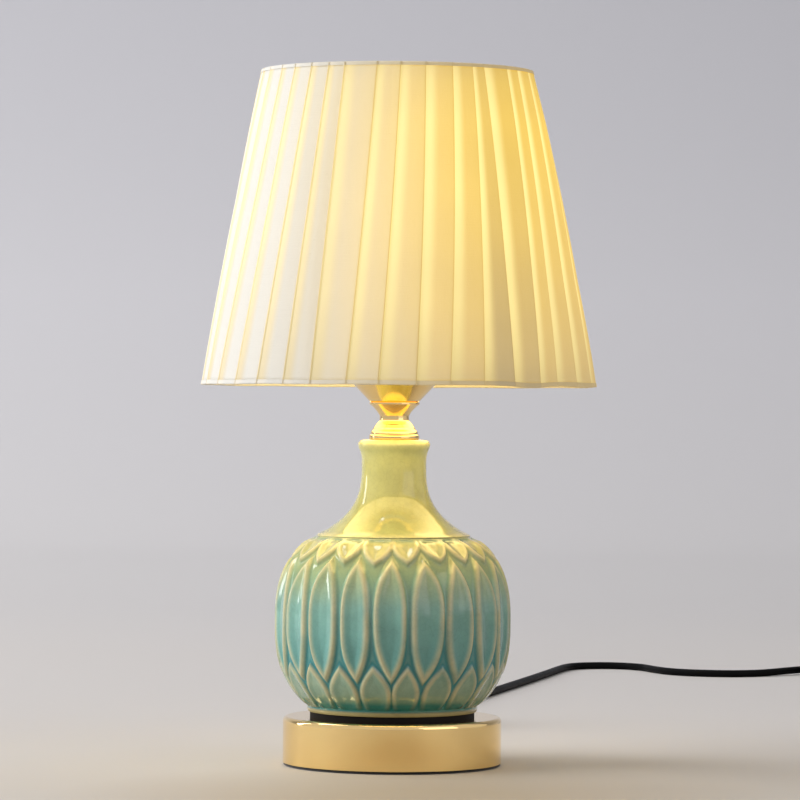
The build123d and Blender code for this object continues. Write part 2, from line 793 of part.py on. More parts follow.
def cord_clamp():
    floor = PAD_T + PLATE_T
    height = EXIT_Z + CORD_D / 2 + CLAMP_ROOF - floor
    middle = LEAD_END_Y + CLAMP_L
    body = block(0, middle, floor, CLAMP_W, CLAMP_L, height)
    return body - along_y(disc(CORD_D + 2 * FIT, -CLAMP_L, CLAMP_L), 0, middle, EXIT_Z)


def core(side):
    """One insulated core: in from the cord's end, up the rod and out to its terminal."""
    bend_out = HOLDER_Z + ROD_ENGAGE + CORE_BEND / 2
    top = HOLDER_SPLIT + TERMINAL_H
    points = [
        (side * CORE_X, LEAD_END_Y, EXIT_Z), (side * CORE_X, 0, EXIT_Z), (side * CORE_X, 0, bend_out),
        (side * TERMINAL_X, 0, bend_out + TERMINAL_X - CORE_X), (side * TERMINAL_X, 0, top),
    ]
    path = FilletPolyline(*points, radius=[CORE_BEND, CORE_BEND / 2, CORE_D])
    return sweep(Plane(points[0], z_dir=(0, -1, 0)) * Circle(CORE_D / 2), path=path)


def live_core():
    return core(1)


def neutral_core():
    return core(-1)


# In-line switch


def at_switch(shape):
    return Pos(SWITCH_X, SWITCH_Y, 0) * shape


def screw_holes(low, high, diameter):
    return [Pos(side * SCREW_X, side * SCREW_Y, 0) * disc(diameter, low, high) for side in (-1, 1)]


def switch_base():
    body = slab(SWITCH_W, SWITCH_L, 0, SWITCH_SPLIT, SWITCH_CORNER)
    pocket = block(0, 0, SWITCH_WALL, SWITCH_W - 2 * SWITCH_WALL, SWITCH_POCKET, SWITCH_SPLIT)
    body = body - pocket - screw_holes(0, SWITCH_SPLIT, SCREW_D + 2 * FIT)
    return at_switch(body - screw_holes(0, FIT + SCREW_HEAD_H, SCREW_HEAD_D + 2 * FIT))


def switch_cover():
    body = slab(SWITCH_W, SWITCH_L, SWITCH_SPLIT, SWITCH_H, SWITCH_CORNER)
    body = fillet(body.edges().group_by(Axis.Z)[-1], SWITCH_EDGE)
    roof = SWITCH_H - SWITCH_WALL
    pocket = block(0, 0, SWITCH_SPLIT, SWITCH_W - 2 * SWITCH_WALL, SWITCH_POCKET, roof - SWITCH_SPLIT)
    window = block(0, 0, SWITCH_SPLIT, ROCKER_W + 2 * LOOSE, ROCKER_L + 2 * ROCKER_GAP, SWITCH_H)
    ear_x = ROCKER_W / 2 + LOOSE + EAR_W / 2
    ears = [block(side * ear_x, 0, SWITCH_SPLIT, EAR_W, EAR_L, roof - SWITCH_SPLIT) for side in (-1, 1)]
    holes = screw_holes(SWITCH_SPLIT, SCREW_TOP + FIT, SCREW_D + 2 * FIT)
    body = body - pocket - window - holes
    return at_switch(body.fuse(*ears) - pin_solid(PIN_D + 2 * FIT))


def pin_solid(diameter):
    half = ROCKER_W / 2 + LOOSE + EAR_W
    return Pos(-half, 0, ROCKER_PIVOT_Z) * Rot(0, 90, 0) * disc(diameter, 0, 2 * half)


def rocker_pin():
    return at_switch(pin_solid(PIN_D))


def switch_rocker():
    """The rocker, drawn from the side and tipped to its on position."""
    end, foot = ROCKER_L / 2, ROCKER_FOOT / 2
    outline = [
        (-foot, -ROCKER_BELOW), (foot, -ROCKER_BELOW), (end, PIN_D), (end, ROCKER_END_TOP), (0, ROCKER_TOP),
        (-end, ROCKER_END_TOP), (-end, PIN_D),
    ]
    side = Plane.YZ * make_face(Polyline(*outline, close=True))
    body = extrude(side, amount=ROCKER_W / 2, both=True)
    bore = Pos(-ROCKER_W, 0, 0) * Rot(0, 90, 0) * disc(PIN_D + 2 * PIN_FIT, 0, 2 * ROCKER_W)
    return at_switch(Pos(0, 0, ROCKER_PIVOT_Z) * Rot(-ROCKER_TILT, 0, 0) * (body - bore))


def switch_contacts():
    blade = block(0, 0, SWITCH_WALL, BLADE_W, BLADE_L, BLADE_T)
    return at_switch(Compound([Pos(side * BLADE_X, 0, 0) * blade for side in (-1, 1)]))


def switch_screws():
    screw = disc(SCREW_HEAD_D, FIT, FIT + SCREW_HEAD_H) + disc(SCREW_D, FIT, SCREW_TOP)
    screw = screw - block(0, 0, FIT, SCREW_HEAD_D, SCREW_SLOT, SCREW_SLOT)
    return at_switch(Compound([Pos(side * SCREW_X, side * SCREW_Y, 0) * screw for side in (-1, 1)]))


# Free cord


def corner_radii(points):
    """The largest radius that each corner's two runs leave room for."""
    radii = []
    for before, corner, after in zip(points, points[1:], points[2:]):
        first, second = Vector(corner) - Vector(before), Vector(after) - Vector(corner)
        turn = math.radians(first.get_angle(second))
        radii.append(CORNER_SHARE * min(first.length, second.length) / math.tan(turn / 2))
    return radii


def cord_tube(name, points):
    radii = corner_radii(points)
    path = FilletPolyline(*points, radius=radii)
    start = Vector(points[0])
    tube = sweep(Plane(start, z_dir=Vector(points[1]) - start) * Circle(CORD_D / 2), path=path)
    share = tube.volume / (math.pi * CORD_D**2 / 4 * path.length)
    print(name, "length", round(path.length, 1), "volume share", round(share, 4))
    print(name, "radii", [round(radius, 1) for radius in radii])
    return tube


def cord_lamp_run():
    start = (0, BASE_R + RELIEF_L, EXIT_Z)
    end = (SWITCH_X, SWITCH_Y - SWITCH_L / 2, SWITCH_CORD_Z)
    return cord_tube("cord_lamp_run", [start, *LAMP_ROUTE, end])


def cord_floor_run():
    start = (SWITCH_X, SWITCH_Y + SWITCH_L / 2, SWITCH_CORD_Z)
    end = coil_end(0)
    return cord_tube("cord_floor_run", [start, *FLOOR_ROUTE, end - coil_heading(0) * COIL_APPROACH, end])


def coil_point(turn):
    """The coil's line: it winds in on the lower layer, climbs as it reverses and winds out above."""
    angle = math.radians(COIL_START) - 2 * math.pi * turn
    radius = COIL_INNER + COIL_PITCH * abs(turn - COIL_TURNS / 2)
    climb = min(max(2 * (turn - COIL_TURNS / 2) + 0.5, 0), 1)
    height = COIL_LOW + COIL_PITCH * climb * climb * (3 - 2 * climb)
    return Vector(COIL_X + radius * math.cos(angle), COIL_Y + radius * math.sin(angle), height)


def coil_heading(turn):
    """The unit direction along the coil, square to its radius at the two ends."""
    if turn in (0, COIL_TURNS):
        angle = math.radians(COIL_START) - 2 * math.pi * turn
        return Vector(math.sin(angle), -math.cos(angle), 0)
    return (coil_point(turn + COIL_NUDGE) - coil_point(turn - COIL_NUDGE)).normalized()


def coil_end(turn):
    """Where the coil's straight end meets the free cord."""
    side = -1 if turn == 0 else 1
    return coil_point(turn) + coil_heading(turn) * (side * CORD_D)


def biarc(start, heading, end, end_heading):
    """Two arcs that leave start and reach end along the given headings."""
    chord = end - start
    both = heading + end_heading
    spread = 2 * (1 - heading.dot(end_heading))
    reach = (-chord.dot(both) + math.sqrt(chord.dot(both) ** 2 + spread * chord.dot(chord))) / spread
    first, second = start + heading * reach, end - end_heading * reach
    joint = (first + second) * 0.5
    return [
        Edge.make_tangent_arc(start, heading, joint),
        Edge.make_tangent_arc(joint, (second - first).normalized(), end),
    ]


def coil_path():
    turns = [COIL_TURNS * i / COIL_STEPS for i in range(COIL_STEPS + 1)]
    edges = [Edge.make_line(coil_end(0), coil_point(0))]
    for low, high in zip(turns, turns[1:]):
        edges += biarc(coil_point(low), coil_heading(low), coil_point(high), coil_heading(high))
    edges.append(Edge.make_line(coil_point(COIL_TURNS), coil_end(COIL_TURNS)))
    return Wire(edges)


def coil_self_gap(path):
    """The least space between two turns, measured on points along the line."""
    count = int(path.length / 2)
    points = [path.position_at(i / count) for i in range(count + 1)]
    apart = int(3 * CORD_D / 2)
    nearest = min((points[i] - points[j]).length for i in range(count) for j in range(i + apart, count))
    return nearest - CORD_D


def cord_coil():
    path = coil_path()
    coil = sweep(Plane(coil_end(0), z_dir=coil_heading(0)) * Circle(CORD_D / 2), path=path)
    share = coil.volume / (math.pi * CORD_D**2 / 4 * path.length)
    print("cord_coil length", round(path.length, 1), "volume share", round(share, 4))
    print("cord_coil least gap to itself", round(coil_self_gap(path), 2))
    return coil


def coil_tie():
    """A band round the coil's bundle, on the side towards the lamp's front."""
    inner = COIL_OUTER - COIL_INNER + CORD_D + 2 * FIT
    tall = COIL_PITCH + CORD_D + 2 * FIT
    low = COIL_LOW - CORD_Z - FIT
    middle = COIL_Y - COIL_MEAN
    outside = block(COIL_X, middle, low - TIE_T, TIE_W, inner + 2 * TIE_T, tall + 2 * TIE_T)
    return outside - block(COIL_X, middle, low, TIE_W, inner, tall)


def cord_tail():
    start = coil_end(COIL_TURNS)
    end = Vector(PLUG_X, PLUG_Y, PLUG_H / 2)
    off_coil = start + coil_heading(COIL_TURNS) * TAIL_RUN
    return cord_tube("cord_tail", [start, off_coil, end + Vector(0, TAIL_RUN, 0), end])


def plug_body():
    """A flat plug that narrows to its cord, with a tapered tail."""
    back = PLUG_Y - PLUG_TAIL_L
    facing = Plane((PLUG_X, back, PLUG_H / 2), x_dir=(1, 0, 0), z_dir=(0, -1, 0))
    neck = facing * RectangleRounded(PLUG_NECK_W, PLUG_NECK_H, PLUG_CORNER)
    face = facing.offset(PLUG_L) * RectangleRounded(PLUG_W, PLUG_H, PLUG_CORNER)
    tail = along_y(turned([
        (0, -PIN_ROOT), (PLUG_TAIL_D / 2, -PIN_ROOT), (PLUG_TAIL_D / 2, 0), (PLUG_TIP_D / 2, PLUG_TAIL_L),
        (0, PLUG_TAIL_L),
    ]), PLUG_X, back, PLUG_H / 2)
    return loft([neck, face], ruled=True).fuse(tail) - pin_pair(2 * FIT)


def pin_pair(room):
    """The two pins, thicker where the plug holds them, with room added to their diameters."""
    face = PLUG_Y - PLUG_TAIL_L - PLUG_L
    pin = disc(PLUG_PIN_D + room, -PIN_LENGTH, 0) + disc(PIN_ROOT_D + room, 0, PIN_ROOT)
    return [along_y(pin, PLUG_X + side * PIN_SPACING / 2, face, PLUG_H / 2) for side in (-1, 1)]


def plug_pins():
    return Compound(pin_pair(0))


PIECES = [
    foot_pad, base_plate, base_shell, base_weight, base_washer, base_nut, body_gasket, threaded_rod,
    ceramic_body, neck_bell, neck_cup, socket_dish,
    lampholder_cap, lampholder_shell, lampholder_insert, screw_shell, centre_contact, terminal_screws,
    lock_ring,
    bulb_tip, bulb_insulator, bulb_cap, bulb_housing, driver_board, light_board, bulb_globe,
    shade_frame, shade_top_ring, shade_liner, shade_pleats, hem_trim, top_trim,
    strain_relief, inner_lead, cord_clamp, live_core, neutral_core,
    switch_base, switch_cover, switch_rocker, rocker_pin, switch_contacts, switch_screws,
    cord_lamp_run, cord_floor_run, cord_coil, coil_tie, cord_tail, plug_body, plug_pins,
]

os.makedirs("parts", exist_ok=True)
for piece in PIECES:
    export_step(piece(), f"parts/{piece.__name__}.step")
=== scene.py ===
import math

import bpy
import numpy as np
from mathutils import Matrix, Vector


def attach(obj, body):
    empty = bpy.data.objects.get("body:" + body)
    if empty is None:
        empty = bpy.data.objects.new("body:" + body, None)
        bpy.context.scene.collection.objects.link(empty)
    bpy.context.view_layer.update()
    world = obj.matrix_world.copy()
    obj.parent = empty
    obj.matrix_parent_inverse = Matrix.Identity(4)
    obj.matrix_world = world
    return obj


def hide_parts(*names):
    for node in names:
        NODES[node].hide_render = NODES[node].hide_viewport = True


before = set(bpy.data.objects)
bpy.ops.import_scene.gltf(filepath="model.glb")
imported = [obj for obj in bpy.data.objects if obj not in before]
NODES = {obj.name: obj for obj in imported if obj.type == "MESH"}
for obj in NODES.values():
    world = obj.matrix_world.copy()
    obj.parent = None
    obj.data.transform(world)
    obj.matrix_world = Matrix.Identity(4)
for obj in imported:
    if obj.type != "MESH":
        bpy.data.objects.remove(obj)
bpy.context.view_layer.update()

SCENE = bpy.context.scene
MM = 0.001
LATHE_STEPS = 128
# How many grains wide the broad patches of a finish are
PATCH_GRAINS = 12


# Helpers


def srgb(red, green, blue):
    """A colour given in 0 to 255 steps, as the linear values that shaders use."""
    shares = [value / 255 for value in (red, green, blue)]
    linear = [s / 12.92 if s <= 0.04045 else ((s + 0.055) / 1.055) ** 2.4 for s in shares]
    return (*linear, 1.0)


def smooth(low, high, value):
    """0 below low, 1 above high and an even step between."""
    t = np.clip((value - low) / (high - low), 0, 1)
    return t * t * (3 - 2 * t)


def hump(value, middle, reach):
    """1 at the middle and an even fall to 0 on both sides."""
    return np.exp(-(((value - middle) / reach) ** 2))


def new_material(name):
    """A material with its node tree and its shader."""
    material = bpy.data.materials.new(name)
    material.use_nodes = True
    tree = material.node_tree
    return material, tree, tree.nodes["Principled BSDF"]


def fill(tree, node, inputs):
    """Gives a shader node's inputs their values or links."""
    for key, value in inputs.items():
        if isinstance(value, bpy.types.NodeSocket):
            tree.links.new(value, node.inputs[key])
        else:
            node.inputs[key].default_value = value


def add(tree, kind, inputs=None, **settings):
    """A new shader node with its settings and its inputs' values or links."""
    made = tree.nodes.new("ShaderNode" + kind)
    for key, value in settings.items():
        setattr(made, key, value)
    fill(tree, made, inputs or {})
    return made


def ramp(tree, value, stops):
    """A colour ramp: stops are (place, colour)."""
    made = add(tree, "ValToRGB", {"Fac": value})
    elements = made.color_ramp.elements
    while len(elements) < len(stops):
        elements.new(0.5)
    for element, (place, colour) in zip(elements, stops):
        element.position = place
        element.color = colour
    return made.outputs["Color"]


def mix(tree, share, first, second, blend="MIX"):
    """Two colours mixed by a share: sockets or values, at the Mix node's places for colours."""
    made = add(tree, "Mix", {0: share, 6: first, 7: second}, data_type="RGBA", blend_type=blend)
    return made.outputs[2]


def math_node(tree, operation, *values):
    """Values put through one Math node: sockets or numbers."""
    return add(tree, "Math", dict(enumerate(values)), operation=operation).outputs[0]


def grey(value):
    return (value, value, value, 1.0)


def scaled(colour, factor):
    return (colour[0] * factor, colour[1] * factor, colour[2] * factor, 1.0)


def surface(name, colour, rough, *, grain, vary, metal=0.0, rough_vary=0.06, bump=0.0, sheen=0.0, shine=0.5):
    """A finish with fine colour variation, uneven roughness and a small bump at the given grain per metre."""
    material, tree, shader = new_material(name)
    place = add(tree, "TexCoord").outputs["Object"]
    fine = add(tree, "TexNoise", {"Vector": place, "Scale": grain, "Detail": 4.0, "Roughness": 0.6}).outputs["Fac"]
    broad = add(tree, "TexNoise", {"Vector": place, "Scale": grain / PATCH_GRAINS, "Detail": 2.0}).outputs["Fac"]
    both = math_node(tree, "MULTIPLY_ADD", fine, 0.5, broad)
    tint = ramp(tree, both, [(0.45, scaled(colour, 1 - vary)), (1.0, scaled(colour, 1 + vary))])
    wear = add(tree, "MapRange", {"Value": broad, "To Min": rough - rough_vary, "To Max": rough + rough_vary})
    fill(tree, shader, {
        "Base Color": tint, "Roughness": wear.outputs["Result"], "Metallic": metal, "Specular IOR Level": shine,
        "Sheen Weight": sheen,
    })
    if bump:
        lift = add(tree, "Bump", {"Height": fine, "Strength": 0.4, "Distance": bump})
        fill(tree, shader, {"Normal": lift.outputs["Normal"]})
    return material


def grid(name, rows, loop=False, masks=None, mask_name=None, sharp=35.0):
    """A mesh from rows of points in millimetres: each row is a ring, and loop joins the last row to the first."""
    rows = np.asarray(rows, dtype=float)
    count, wide = rows.shape[:2]
    index = np.arange(count * wide).reshape(count, wide)
    if loop:
        index = np.vstack([index, index[:1]])
    low, high = index[:-1], index[1:]
    faces = np.stack([low, np.roll(low, -1, 1), np.roll(high, -1, 1), high], axis=-1).reshape(-1, 4)
    mesh = bpy.data.meshes.new(name)
    mesh.from_pydata((rows.reshape(-1, 3) * MM).tolist(), [], faces.tolist())
    if masks is not None:
        layer = mesh.color_attributes.new(mask_name, "FLOAT_COLOR", "POINT")
        masks = np.asarray(masks).reshape(count * wide, -1)
        values = np.ones((count * wide, 4))
        values[:, :masks.shape[1]] = masks
        layer.data.foreach_set("color", values.ravel())
    mesh.polygons.foreach_set("use_smooth", [True] * len(mesh.polygons))
    mesh.set_sharp_from_angle(angle=math.radians(sharp))
    made = bpy.data.objects.new(name, mesh)
    SCENE.collection.objects.link(made)
    return made


def circle(steps):
    """Even angles once round."""
    return np.linspace(0, 2 * np.pi, steps, endpoint=False)


def around(radius, angles, z):
    """Points round the upright axis; the radius and the height are numbers or arrays."""
    x, y = radius * np.cos(angles), radius * np.sin(angles)
    return np.stack([x, y, np.broadcast_to(z, x.shape)], axis=-1)


def lathe(name, outline):
    """A turned piece from (radius, height) points in millimetres."""
    angles = circle(LATHE_STEPS)
    return grid(name, [around(r, angles, z) for r, z in outline], loop=True)


def dress(piece, material, body, *replaced):
    """Gives a new piece its material, its body and the CAD nodes that it stands for."""
    piece.data.materials.clear()
    piece.data.materials.append(material)
    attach(piece, body)
    if replaced:
        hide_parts(*replaced)


def paint(material, *names):
    """Gives CAD nodes a material."""
    for name in names:
        node = NODES[name]
        node.data.materials.clear()
        node.data.materials.append(material)


# Camera, as the photograph was taken: lens and sensor in millimetres, places in metres

FOCAL = 191.25
SENSOR = 36.0
CAMERA_ASIDE = 0.0031
CAMERA_AWAY = 2.3915
CAMERA_UP = 0.2222
PITCH = math.radians(0.404)
ROLL = math.radians(0.43)
camera_data = bpy.data.cameras.new("camera")
camera_data.lens = FOCAL
camera_data.sensor_width = SENSOR
camera_data.clip_end = 50.0
camera = bpy.data.objects.new("camera", camera_data)
SCENE.collection.objects.link(camera)
tilt = Matrix.Rotation(math.pi / 2 - PITCH, 4, "X") @ Matrix.Rotation(ROLL, 4, "Z")
camera.matrix_world = Matrix.Translation((CAMERA_ASIDE, -CAMERA_AWAY, CAMERA_UP)) @ tilt
SCENE.camera = camera

# Cords: sizes in millimetres

CORD_D = 5.2
CORD_Z = CORD_D / 2
LAMP_ROUTE = [
    (0, 82.5, 9), (0, 101.5, 9), (1.8, 121, 3.6), (7, 147, CORD_Z), (13.6, 173, CORD_Z), (18.6, 196, 3.0),
    (20, 215, 5), (20, 234, 5),
]
FLOOR_ROUTE = [
    (20, 296, 5), (20, 315, 5), (22.6, 336, 3.0), (30, 368, CORD_Z), (43, 408, CORD_Z), (54.5, 461, CORD_Z),
    (66.5, 511, CORD_Z), (79, 561, CORD_Z), (91.8, 612, CORD_Z), (104.6, 665, CORD_Z), (114.6, 708, CORD_Z),
    (121.6, 739, CORD_Z), (129, 766, CORD_Z), (141, 778.8, CORD_Z), (157, 783.2, CORD_Z), (172.6, 778.9, CORD_Z),
    (185.5, 765.5, CORD_Z), (191.5, 746.5, CORD_Z), (200.5, 725.5, CORD_Z), (214, 713, CORD_Z), (233, 706, CORD_Z),
    (254, 706.5, CORD_Z), (272, 717, CORD_Z),
]
COIL_X, COIL_Y = 338.5, 730.0
COIL_TURNS = 4.375
COIL_PITCH = 5.8
COIL_INNER = 5.5 * CORD_D - COIL_PITCH * COIL_TURNS / 4
COIL_START = math.radians(135)
COIL_LOW = 3.5
# Points in each turn, and how far before the first one the cord comes down to the coil
COIL_POINTS = 24
COIL_LEAD = 20.6
TAIL_ROUTE = [(373.44, 712.8, 9.3), (374.4, 695, 6.85), (374.4, 681, 6.85)]


def coil_point(turn):
    """The coil winds in on the lower layer, climbs as it reverses and winds out above."""
    angle = COIL_START - 2 * math.pi * turn
    past_middle = turn - COIL_TURNS / 2
    radius = COIL_INNER + COIL_PITCH * abs(past_middle)
    height = COIL_LOW + COIL_PITCH * smooth(-0.25, 0.25, past_middle)
    return (COIL_X + radius * math.cos(angle), COIL_Y + radius * math.sin(angle), height)


def cord_curve(name, points):
    """A round cord along one smooth spline with the route's points as its control points."""
    curve = bpy.data.curves.new(name, "CURVE")
    curve.dimensions = "3D"
    curve.bevel_depth = CORD_Z * MM
    curve.bevel_resolution = 6
    curve.use_fill_caps = True
    spline = curve.splines.new("NURBS")
    spline.points.add(len(points) - 1)
    for point, place in zip(spline.points, points):
        point.co = (*[value * MM for value in place], 1.0)
    spline.order_u = 3
    spline.use_endpoint_u = True
    spline.resolution_u = 6
    made = bpy.data.objects.new(name, curve)
    SCENE.collection.objects.link(made)
    return made


coil_steps = round(COIL_POINTS * COIL_TURNS)
coil_points = [coil_point(COIL_TURNS * i / coil_steps) for i in range(coil_steps + 1)]
start_x, start_y, _ = coil_points[0]
lead = (start_x - COIL_LEAD, start_y - COIL_LEAD, COIL_LOW)
lamp_cord = cord_curve("lamp_cord", LAMP_ROUTE)
floor_cord = cord_curve("floor_cord", FLOOR_ROUTE + [lead] + coil_points + TAIL_ROUTE)

rubber = surface("cord_rubber", srgb(9, 9, 10), 0.44, grain=1600, vary=0.25, rough_vary=0.08, bump=0.00004, shine=0.05)
dress(lamp_cord, rubber, "lamp", "cord_lamp_run")
dress(floor_cord, rubber, "lamp", "cord_floor_run", "cord_coil", "cord_tail")

# Boot, tie and foot pad: sizes in millimetres

EXIT_Z = 9.0
BOOT_WALL = 61.6
BOOT_TIP = 85.5
BOOT_R, BOOT_TIP_R, BOOT_BORE = 5.5, 3.7, 2.7
BOOT_FLANGE = [(BOOT_BORE, 57.9), (6.0, 57.9), (6.2, 58.2), (6.2, 59.8), (4.5, 59.9), (4.5, BOOT_WALL - 0.05)]
BOOT_EDGE = 0.3
BOOT_ROWS, BOOT_STEPS = 110, 64
BOOT_RIBS, RIB_GROOVE = 6, 0.6


def boot_radius(y):
    """The boot's taper with soft grooves between its ribs."""
    share = (y - BOOT_WALL) / (BOOT_TIP - BOOT_WALL)
    groove = (0.5 - 0.5 * math.cos(2 * math.pi * BOOT_RIBS * share)) ** 3
    return BOOT_R + (BOOT_TIP_R - BOOT_R) * share - RIB_GROOVE * groove * math.sin(math.pi * share) ** 0.5


def build_boot():
    """The cord's boot: a flange inside the wall and a ribbed taper outside it, turned about the cord."""
    outside = [(boot_radius(y), y) for y in np.linspace(BOOT_WALL, BOOT_TIP - BOOT_EDGE, BOOT_ROWS)]
    tip = [(BOOT_TIP_R - BOOT_EDGE, BOOT_TIP), (BOOT_BORE, BOOT_TIP)]
    angles = circle(BOOT_STEPS)
    rows = []
    for r, y in BOOT_FLANGE + outside + tip:
        rows.append(np.stack([r * np.cos(angles), np.full(BOOT_STEPS, y), EXIT_Z - r * np.sin(angles)], axis=-1))
    return grid("cord_boot", rows, loop=True)


TIE_Y, TIE_Z = 701.4, 6.4
TIE_HALF_Y, TIE_HALF_Z = 9.04, 5.6
TIE_CORNER, TIE_CORNER_STEPS = 2.6, 9
# Across the strap and out from the bundle
TIE_SECTION = [
    (-4.0, 0.2), (-3.8, 0.62), (-3.3, 0.8), (3.3, 0.8), (3.8, 0.62), (4.0, 0.2), (3.7, 0.02), (-3.7, 0.02),
]


def build_tie():
    """A strap round the coil's bundle, with rounded corners and edges."""
    corners = [(1, -1, -90), (1, 1, 0), (-1, 1, 90), (-1, -1, 180)]
    middle, outward = [], []
    for side, up, start in corners:
        for turned in np.radians(np.linspace(start, start + 90, TIE_CORNER_STEPS)):
            middle.append((side * (TIE_HALF_Y - TIE_CORNER), up * (TIE_HALF_Z - TIE_CORNER)))
            outward.append((math.cos(turned), math.sin(turned)))
    middle, outward = np.array(middle), np.array(outward)
    rows = []
    for x, lift in TIE_SECTION:
        line = middle + outward * (TIE_CORNER + lift)
        rows.append(np.stack([np.full(len(line), COIL_X + x), TIE_Y + line[:, 0], TIE_Z + line[:, 1]], axis=-1))
    return grid("coil_strap", rows, loop=True)


PAD_OUTLINE = [
    (0.3, 0.05), (30, 0.05), (59.4, 0.0), (60.5, 0.15), (60.95, 0.55), (61.0, 1.0), (60.8, 1.45), (60.2, 1.6),
    (0.3, 1.6),
]

boot = build_boot()
dress(boot, rubber, "lamp", "strain_relief")
strap = build_tie()
strap_weave = surface("strap_weave", srgb(20, 20, 21), 0.8, grain=2600, vary=0.4, bump=0.0002, sheen=0.3)
dress(strap, strap_weave, "lamp", "coil_tie")
pad = lathe("felt_pad", PAD_OUTLINE)
felt = surface("pad_felt", srgb(22, 20, 19), 0.95, grain=2200, vary=0.35, bump=0.0003, sheen=0.3)
dress(pad, felt, "lamp", "foot_pad")

# Ceramic vase: sizes in millimetres, heights above its foot

VASE_Z = 30.4
VASE_H = 152.7
FOOT_H = 3.6
FOOT_R = 48.2
BELLY_R = 66.1
BELLY_H = 51.0
BELLY_POWER, UNDER_POWER, OVER_POWER = 2.6, 1.2, 1.35
SHOULDER_R = 42.8
SHOULDER_H = 98.4
LIP = 0.5
NECK_R = 18.3
NECK_H = 138.5
RIM_R = 19.4
RIM_H = 149.0
PETALS = 20
PETAL_PHASE = math.radians(-90 - 0.95)
# Three rings of petals: their places up the vase, half widths and the powers that shape their tips
TALL_MIDDLE, TALL_REACH, TALL_SIDE, TALL_POWER = 53.4, 33.6, 9.0, 2.8
LEAF_ROOT, LEAF_WIDE, LEAF_TIP, LEAF_SIDE, LEAF_POWER = 5.4, 14.0, 28.4, 8.1, 1.75
DROP_ROOT, DROP_REACH, DROP_SIDE, DROP_POWER = 97.2, 11.8, 7.9, 2.6
# The ground between them, and each ring's rim: its rise, the hollow's sink, how far in that ends, and its softness
GROUND = -1.55
TALL_RIM, LEAF_RIM, DROP_RIM = (2.1, 1.75, 7.5, 1.0), (1.85, 0.8, 5.6, 1.0), (2.6, 1.7, 6.0, 1.4)
COLUMNS = 32 * PETALS
BEAD_OUTLINE = [
    (20.45, 149.6), (20.4, 150.2), (20.15, 150.9), (19.7, 151.6), (19.0, 152.2), (18.0, 152.6), (16.8, VASE_H),
    (6.6, VASE_H),
]
UNDER_OUTLINE = [(6.6, 0.0), (44.0, 0.0)]


def vase_radius(h):
    """The smooth outside of the vase at the heights h."""
    low = np.clip((BELLY_H - h) / (BELLY_H - FOOT_H), 0, 1)
    up = np.clip((h - BELLY_H) / (SHOULDER_H - BELLY_H), 0, 1)
    under = FOOT_R + (BELLY_R - FOOT_R) * (1 - low**BELLY_POWER) ** (1 / UNDER_POWER)
    over = SHOULDER_R + (BELLY_R - SHOULDER_R) * (1 - up**BELLY_POWER) ** (1 / OVER_POWER)
    left = np.clip((NECK_H - h) / (NECK_H - SHOULDER_H - LIP), 0, 1)
    neck = NECK_R + (SHOULDER_R - NECK_R) * left**3
    mouth = NECK_R + (RIM_R - NECK_R) * smooth(NECK_H + 2.5, RIM_H + 0.4, h)
    radius = np.where(h < BELLY_H, under, over)
    radius = np.where(h > SHOULDER_H + LIP, neck, radius)
    radius = np.where(h > NECK_H, mouth, radius)
    return np.where(h < FOOT_H, FOOT_R - 0.6 * (1 - h / FOOT_H), radius)


def across(angle, offset, radius):
    """Distance along the surface from the middle of the nearest petal of a ring."""
    step = 2 * math.pi / PETALS
    away = (angle - PETAL_PHASE - offset + step / 2) % step - step / 2
    return np.abs(away) * radius


def petal(t, power, side, reach, wide, away, narrow=0.0):
    """Distance in from the edge of a petal whose half width falls with a power of t, the share of its reach."""
    slope = power * side / reach * t ** (power - 1)
    return (side * wide * (1 - t**power - narrow) - away) / np.sqrt(1 + slope**2)


def rim(inside, rise, sink, middle, soft):
    """Relief across a petal's edge: up from the ground to a soft rim, then down into the hollow."""
    return GROUND + rise * smooth(-1.6 * soft, 1.2 * soft, inside) - sink * smooth(soft, middle, inside)


